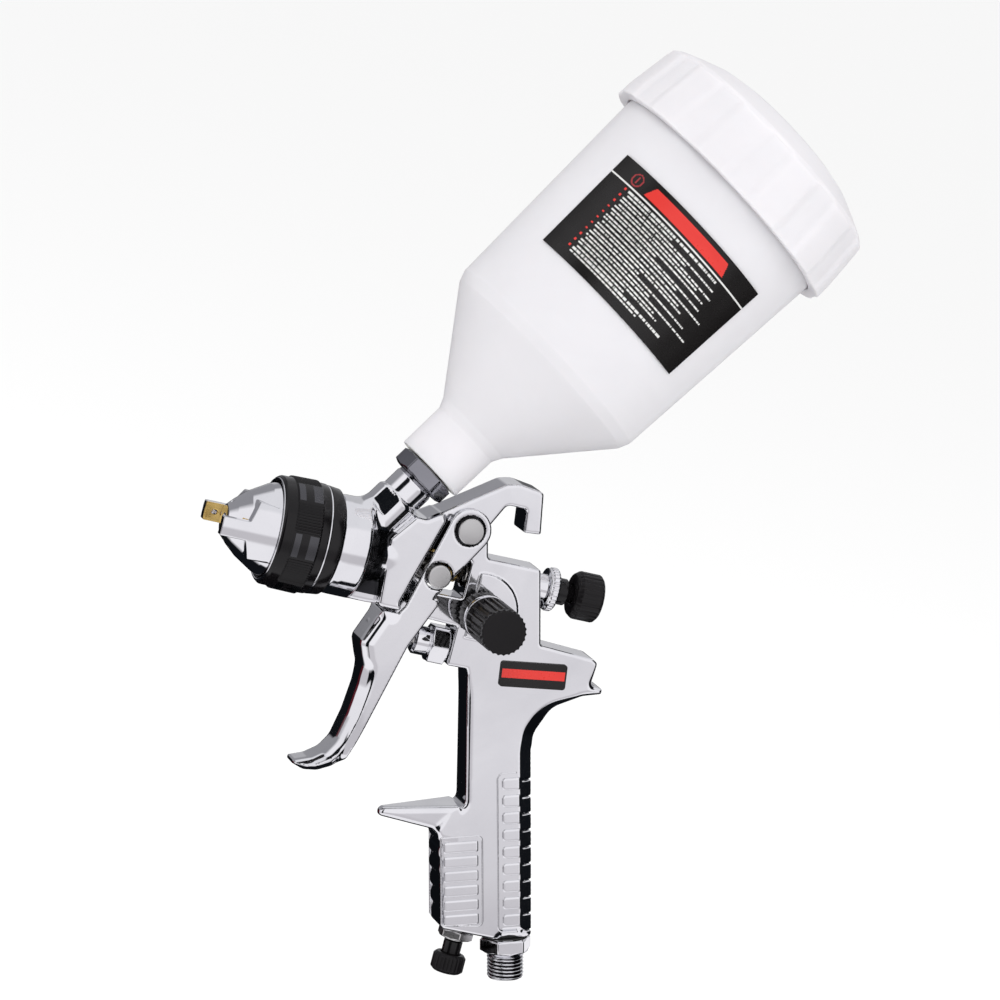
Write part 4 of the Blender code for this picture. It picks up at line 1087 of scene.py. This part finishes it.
def studio():
    """Camera at the product's three-quarter view, soft light and a pale floor."""
    azimuth, height, roll = math.radians(-17.5), math.radians(7.2), math.radians(14.6)
    aim, distance = Vector((-0.004, 0, 0.0003)), 2.0
    back = Vector((math.sin(azimuth) * math.cos(height), -math.cos(azimuth) * math.cos(height),
                   math.sin(height)))
    right = Vector((math.cos(azimuth), math.sin(azimuth), 0))
    up = back.cross(right)
    tilt_right = right * math.cos(roll) + up * math.sin(roll)
    tilt_up = up * math.cos(roll) - right * math.sin(roll)
    data = bpy.data.cameras.new("camera")
    data.lens = 203.05
    data.sensor_width = 36.0
    data.clip_end = 200.0
    camera = bpy.data.objects.new("camera", data)
    bpy.context.scene.collection.objects.link(camera)
    turn = Matrix((tilt_right, tilt_up, back)).transposed().to_4x4()
    camera.matrix_world = Matrix.Translation(aim + back * distance) @ turn
    bpy.context.scene.camera = camera

    floor_mesh = bpy.data.meshes.new("floor")
    size, level = 60.0, -0.225
    floor_mesh.from_pydata([(-size, -size, level), (size, -size, level), (size, size, level),
                            (-size, size, level)], [], [(0, 1, 2, 3)])
    floor = bpy.data.objects.new("floor", floor_mesh)
    bpy.context.scene.collection.objects.link(floor)
    material, _, shader, _ = graph("pale_floor")
    shader.inputs["Base Color"].default_value = (0.93, 0.93, 0.93, 1)
    shader.inputs["Roughness"].default_value = 0.9
    shader.inputs["Specular IOR Level"].default_value = 0.0
    floor_mesh.materials.append(material)
    floor.visible_glossy = False

    for name, spot, side, power in (("key", (-0.9, -1.6, 1.5), 1.2, 18.0),
                                    ("fill", (1.7, -1.0, 0.9), 1.0, 8.0)):
        lamp = bpy.data.lights.new(name, "AREA")
        lamp.size = side
        lamp.energy = power
        thing = bpy.data.objects.new(name, lamp)
        thing.location = spot
        thing.rotation_euler = (-Vector(spot)).to_track_quat("-Z", "Y").to_euler()
        bpy.context.scene.collection.objects.link(thing)
        thing.visible_glossy = False


def surroundings():
    """World light: pale for the camera and for soft light, and a studio of white
    panels and dark cards for reflections."""
    world = bpy.data.worlds.new("studio")
    bpy.context.scene.world = world
    world.use_nodes = True
    tree = world.node_tree
    tree.nodes.clear()
    place = tree.nodes.new("ShaderNodeTexCoord")
    split = tree.nodes.new("ShaderNodeSeparateXYZ")
    tree.links.new(place.outputs["Generated"], split.inputs[0])
    x, y, z = split.outputs

    def math_node(operation, a, b=None):
        node = tree.nodes.new("ShaderNodeMath")
        node.operation = operation
        for socket, value in zip(node.inputs, (a, b)):
            if value is None:
                continue
            if isinstance(value, (int, float)):
                socket.default_value = value
            else:
                tree.links.new(value, socket)
        return node.outputs[0]

    def band(value, stops):
        node = tree.nodes.new("ShaderNodeValToRGB")
        ramp_node = node.color_ramp
        while len(ramp_node.elements) > 1:
            ramp_node.elements.remove(ramp_node.elements[0])
        ramp_node.elements[0].position = stops[0][0]
        ramp_node.elements[0].color = (*stops[0][1], 1)
        for position, colour in stops[1:]:
            element = ramp_node.elements.new(position)
            element.color = (*colour, 1)
        tree.links.new(value, node.inputs[0])
        return node.outputs[0]

    # azimuth from the camera's side, 0 to 1 over a full turn, 0.5 at -Y
    angle = math_node("ARCTAN2", x, math_node("MULTIPLY", y, -1.0))
    turn = math_node("ADD", math_node("DIVIDE", angle, 2 * math.pi), 0.5)

    def at(degrees):
        return degrees / 360.0 + 0.5

    white, pale, grey = (0.93, 0.92, 0.95), (0.56, 0.56, 0.58), (0.30, 0.30, 0.32)
    black, red, top = (0.006, 0.007, 0.009), (0.10, 0.012, 0.02), (0.80, 0.80, 0.83)
    level = band(turn, [
        (0.0, black), (at(-142), black), (at(-138), red), (at(-120), red), (at(-116), white),
        (at(-64), white), (at(-61), black), (at(-31), black), (at(-28), white), (at(38), white),
        (at(42), black), (at(120), black), (at(126), white), (at(140), white), (at(146), black),
        (1.0, black)])
    upper = band(turn, [
        (0.0, grey), (at(-110), grey), (at(-90), white), (at(-62), white), (at(-58), black),
        (at(-36), black), (at(-32), white), (at(40), white), (at(44), black), (at(118), black),
        (at(122), pale), (at(172), pale), (at(178), grey), (1.0, grey)])
    lower = band(turn, [
        (0.0, black), (at(-130), black), (at(-110), white), (at(60), white), (at(66), black),
        (1.0, black)])
    height = math_node("ADD", math_node("MULTIPLY", z, 0.5), 0.5)
    shade = band(height, [(0.80 / 2, (0.66, 0.65, 0.66)), (0.90 / 2, (1.0, 1.0, 1.0))])
    tinted = tree.nodes.new("ShaderNodeMix")
    tinted.data_type = "RGBA"
    tinted.blend_type = "MULTIPLY"
    tinted.inputs["Factor"].default_value = 1.0
    tree.links.new(level, tinted.inputs[6])
    tree.links.new(shade, tinted.inputs[7])
    colour = lower
    for start, end, above in ((-0.55, -0.45, tinted.outputs[2]), (0.02, 0.10, upper),
                              (0.72, 0.80, top)):
        colour = mixed(tree, spread(tree, z, 0.0, 1.0, start, end), colour, above)
    glossy = tree.nodes.new("ShaderNodeBackground")
    tree.links.new(colour, glossy.inputs["Color"])
    plain = tree.nodes.new("ShaderNodeBackground")
    plain.inputs["Color"].default_value = (1, 1, 1, 1)
    plain.inputs["Strength"].default_value = 1.0
    path = tree.nodes.new("ShaderNodeLightPath")
    switch = tree.nodes.new("ShaderNodeMixShader")
    tree.links.new(path.outputs["Is Glossy Ray"], switch.inputs["Fac"])
    tree.links.new(plain.outputs[0], switch.inputs[1])
    tree.links.new(glossy.outputs[0], switch.inputs[2])
    output = tree.nodes.new("ShaderNodeOutputWorld")
    tree.links.new(switch.outputs[0], output.inputs["Surface"])


studio()
surroundings()
bpy.context.scene.view_settings.view_transform = "Standard"
